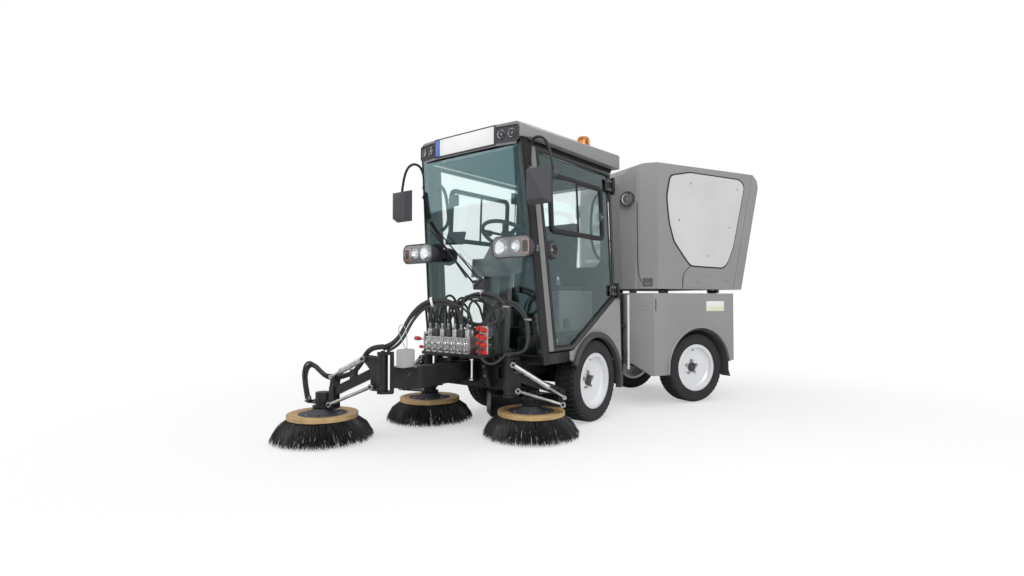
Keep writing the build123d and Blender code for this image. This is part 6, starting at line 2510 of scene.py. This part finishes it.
    def _door(self) -> Piece:
        """Softens the hopper's door and adds its rubber bars, catches, grip and vents.

        Returns:
            The door.
        """
        shell = painted(softened("hopper_door", REAR, 12, 4, 24), BODY_PAINT)
        lean = 0.2399
        parts = [shell]
        for side in SIDES:
            for x in (300, 470):
                bar = slab(
                    [
                        (side * x - 24, 1977 + lean * (z - 952) + out, z)
                        for z, out in ((1144, -4), (1144, 14), (1504, 14), (1504, -4))
                    ],
                    (48, 0, 0)
                )
                parts.append(painted(rounded(bar, 5, 3), BLACK_PLASTIC))
            catch = slab(
                [
                    (side * 420 - 30, 1977 + lean * (z - 952) + out, z)
                    for z, out in ((985, -4), (985, 20), (1040, 20), (1040, -4))
                ],
                (60, 0, 0)
            )
            parts.append(painted(rounded(catch, 5, 3), ZINC))
        grip = [
            (-120, 1977 + lean * 320 + 2, 1272), (-110, 1977 + lean * 320 + 44, 1270),
            (110, 1977 + lean * 320 + 44, 1270), (120, 1977 + lean * 320 + 2, 1272)
        ]
        parts.append(painted(hose(grip, 11), BLACK_PAINT))
        for z in (1600, 1720):
            y = 1977 + lean * (z - 952)
            vent = slab(
                [
                    (-300, y - 4, z), (-300, y + 6, z), (-300, y + 6 + lean * 60, z + 60),
                    (-300, y - 4 + lean * 60, z + 60)
                ],
                (600, 0, 0)
            )
            parts.append(painted(rounded(vent, 3), DARK_PLASTIC))
        return joined(parts)


# Brush arms


@dataclass(frozen=True)
class Arm:
    """Where a brush arm stands, and where its brush is in its own frame."""

    name: str
    root: tuple[float, float]
    bearing_deg: float
    side: int
    brush: tuple[float, float]

    @property
    def home(self) -> Matrix:
        """The arm's frame in the vehicle's, with X along the arm."""
        return Matrix.Translation((*self.root, 0)) @ Matrix.Rotation(math.radians(self.bearing_deg), 4, "Z")

    @property
    def brush_place(self) -> Matrix:
        """Where the brush's middle stands, in metres."""
        along, across = self.brush
        return CAB @ self.home @ Matrix.Translation((along, self.side * across, 0))


LEFT_ARM = Arm("left", (355.0, -805.0), 46.8, 1, (161.0, 107.0))
RIGHT_ARM = Arm("right", (-355.0, -805.0), 167.3, -1, (161.0, 107.0))
THIRD_ARM = Arm("third", (-110.0, -1392.0), 191.6, -1, (469.0, 0.0))


@dataclass(frozen=True)
class ArmHoses:
    """Guarded hoses over the boom to the third brush, their clamps, and the side arms' hoses."""

    arm: Arm = THIRD_ARM

    def build(self) -> None:
        """Makes the hoses."""
        self._arch()
        self._over_joint()
        self._to_head()
        self._boom_box()
        for arm in (LEFT_ARM, RIGHT_ARM):
            self._side_arm(arm)

    def _arch(self) -> None:
        """Runs the bundle from the valves in an arch down to the boom's end."""
        line = [
            (118, -962, 712), (112, -980, 780), (92, -1010, 838), (40, -1090, 862), (-30, -1150, 846),
            (-92, -1205, 760), (-112, -1262, 640), (-124, -1330, 590), (-118, -1372, 585)
        ]
        parts = []
        for count, shift in enumerate(((0, 0, 0), (-17, 8, -14), (8, 16, -22), (-10, 22, 10))):
            run = [Vector(p) + Vector(shift) * min(1, (n + 0.4) / 3) for n, p in enumerate(line)]
            parts.append(hose(run, (11, 9.5, 9, 7)[count]))
        parts.append(spiral(line[1:], 12, 9, 2.2))
        for x in (-165, -110, -55, 55, 165):
            run = [
                (x, -925, 676), (x, -930, 740), (x * 0.8 + 15, -960, 800), (x * 0.3 + 50, -1020, 838),
                (12, -1092, 848), (-52, -1160, 812), (-92, -1210, 735)
            ]
            parts.append(hose(run, 6.5, 3))
        bends = ("cab", "boom", (60, -1060, 850), (-115, -1290, 610))
        ON_CAB.hand_over(joined(parts), "boom_hose_arch", RUBBER, (), 60, bends=bends)
        band = turned([(-7, 27), (-7, 30), (7, 30), (7, 27), (-7, 27)], (0, 0, 0), Axis.Z.value, 24)
        places = [plane_at((-2, -1108, 848), (-0.7, -0.6, -0.2), (0, 0, 1))]
        ON_CAB.hand_over(
            joined(copied(band, places)), "arch_band", PLATE_WHITE, (), 40, bends=bends
        )

    def _over_joint(self) -> None:
        """Runs the guarded hose from the boom's bracket onto the arm."""
        home = self.arm.home
        line = [
            home @ Vector(p)
            for p in (
                (-6, 4, 588), (40, 0, 584), (90, -4, 572), (140, -14, 540), (190, -24, 468), (244, -26, 424)
            )
        ]
        parts = [hose(line, 12.5), spiral(line, 13.5, 10, 2.4)]
        bends = ("third_bracket", "third_arm", home @ Vector((60, -2, 580)), home @ Vector((200, -24, 460)))
        ON_CAB.hand_over(joined(parts), "arm_hose_upper", RUBBER, (), 60, bends=bends)

    def _to_head(self) -> None:
        """Runs the guarded hose from the arm in a high loop down to the brush's motor."""
        home = self.arm.home
        line = [
            home @ Vector(p)
            for p in (
                (236, -26, 424), (310, -22, 396), (380, -12, 380), (440, -2, 384), (496, 0, 420),
                (548, 0, 456), (596, 0, 448), (622, 0, 390), (614, 0, 320), (598, 0, 262), (590, 0, 236)
            )
        ]
        parts = [hose(line, 12), spiral(line, 13, 10, 2.4)]
        thin = [
            p + Vector((0, 0, 1)) * (20 if 1 < n < 9 else 6) + (home.to_3x3() @ Vector((0, 20, 0)))
            for n, p in enumerate(line)
        ]
        parts.append(hose(thin, 7))
        bends = ("third_arm", "third_head", home @ Vector((330, -20, 390)), home @ Vector((520, 0, 440)))
        ON_CAB.hand_over(joined(parts), "arm_hose_lower", RUBBER, (), 60, bends=bends)
        foot = [
            rounded(block((500, -9, 214), (602, 9, 224)), 3),
            rounded(block((566, -20, 222), (606, 20, 234)), 3)
        ]
        foot = (
            [painted(part, BLACK_PAINT) for part in foot]
            + [fitting((586, -2, 232), (0.1, 0, 1), 11, 24), fitting((590, 14, 232), (0.1, 0, 1), 7, 20)]
        )
        Delivery("third_head", CAB @ home).hand_over(
            joined(foot), "head_hose_bracket", None, (), 35
        )
        clamp = rounded(block((226, -46, 380), (262, -6, 442)), 5, 3)
        clamps = [painted(clamp, BLACK_PLASTIC), Bolt(6, 5).at([((244, -46, 402), (0, -1, 0))])]
        on_arm = Delivery("third_arm", CAB @ home)
        on_arm.hand_over(joined(clamps), "arm_hose_clamp", None, (), 35)

    @staticmethod
    def _side_arm(arm: Arm) -> None:
        """Runs a pair of hoses along a side arm.

        Args:
            arm: Which arm.
        """
        home = arm.home
        spine = (
            (30, 30, 420), (80, 34, 426), (140, 34, 396), (200, 32, 350), (244, 26, 318), (278, 8, 306)
        )
        parts = []
        for shift in (0, 16):
            line = [home @ Vector((x, -arm.side * (y + shift), z)) for x, y, z in spine]
            parts.append(hose(line, 7.5))
        bends = (
            f"{arm.name}_bracket", f"{arm.name}_arm", home @ Vector((30, 0, 400)),
            home @ Vector((70, 0, 400))
        )
        ON_CAB.hand_over(joined(parts), f"{arm.name}_arm_hoses", RUBBER, (), 60, bends=bends)

    def _boom_box(self) -> None:
        """Sets the pale box with its cable loop and the round cap on the boom."""
        case = block((-14, -1378, 474), (54, -1286, 572))
        with Bench(case) as bench:
            bench.edges(lambda a, b: abs(a.z - b.z) > 50)
            bench.bevel(12, 4)
            bench.faces(FACES_UP)
            bench.inset(4)
            bench.inset(0.5, 5)
        parts = [painted(rounded(case, 3), CASE_GREY)]
        loop = [
            (20, -1332, 576), (-20, -1334, 640), (-44, -1336, 690), (-14, -1336, 722), (24, -1336, 700),
            (36, -1334, 640), (30, -1332, 576)
        ]
        parts.append(painted(hose(loop, 2.4, 3), CASE_GREY))
        cap = turned(
            [(0, 34), (5, 34), (8, 30), (8, 12), (11, 10), (11, 0.01)], (80, -1336, 419), Vector((1, 0, 0)),
            36
        )
        parts.append(painted(cap, BLACK_PAINT))
        ears = [((x, y, 474), (0, 0, 1)) for x, y in ((70, -1300), (-30, -1360))]
        parts.append(Bolt(7, 5).at(ears))
        ON_BOOM.hand_over(joined(parts), "boom_fittings", None, (), 35)


# Metal parts with the CAD's form


@dataclass(frozen=True)
class SoftMetal:
    """Frame and arm parts as in the CAD, with softened edges."""

    table: tuple[tuple[float, Finish, str, tuple[str, ...]], ...] = (
        (
            2.5, BLACK_PAINT, "black_frame",
            (
                "front_chassis", "front_axle", "lift_frame", "suction_mouth", "boom", "rear_frame",
                "rear_axle", "left_bracket", "right_bracket", "third_bracket", "left_arm", "right_arm",
                "third_arm", "left_head", "right_head", "third_head"
            )
        ),
        (
            1.2, ZINC, "steel",
            ("left_link", "right_link", "third_link", "left_cylinder", "right_cylinder", "third_cylinder")
        ),
        (
            1.0, RIM_SILVER, "rim_silver",
            ("front_left_rim", "front_right_rim", "rear_left_rim", "rear_right_rim")
        )
    )

    def build(self) -> None:
        """Makes the softened copies."""
        for width, finish, slot, nodes in self.table:
            for node in nodes:
                home = REAR if node.startswith("rear") else CAB
                body = frame["nodes"][node]["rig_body"]
                Delivery(body, home).hand_over(
                    softened(node, home, width), f"{node}_finished", finish, [node], 30
                )


def main() -> None:
    """Builds the sub-assemblies in order."""
    Studio().build()
    CadFinishes().dress()
    for end, home, y in (("front", CAB, 0), ("rear", REAR, 1500)):
        for hand, side in (("left", 1), ("right", -1)):
            turn = Matrix.Rotation(0 if side > 0 else math.pi, 4, "Z")
            Wheel(f"{end}_{hand}", home @ Matrix.Translation((side * 418, y, 290)) @ turn).build()
    for arm in (LEFT_ARM, RIGHT_ARM, THIRD_ARM):
        Brush(arm.name, arm.brush_place).build()
    parts = (
        CabShell(), RoofGear(), Headlamps(), Mirrors(), Wipers(), Door("left"), Door("right"), Interior(),
        ValveGear(), RearShell(), SoftMetal(), ArmHoses()
    )
    for part in parts:
        part.build()


if __name__ == "__main__":
    main()
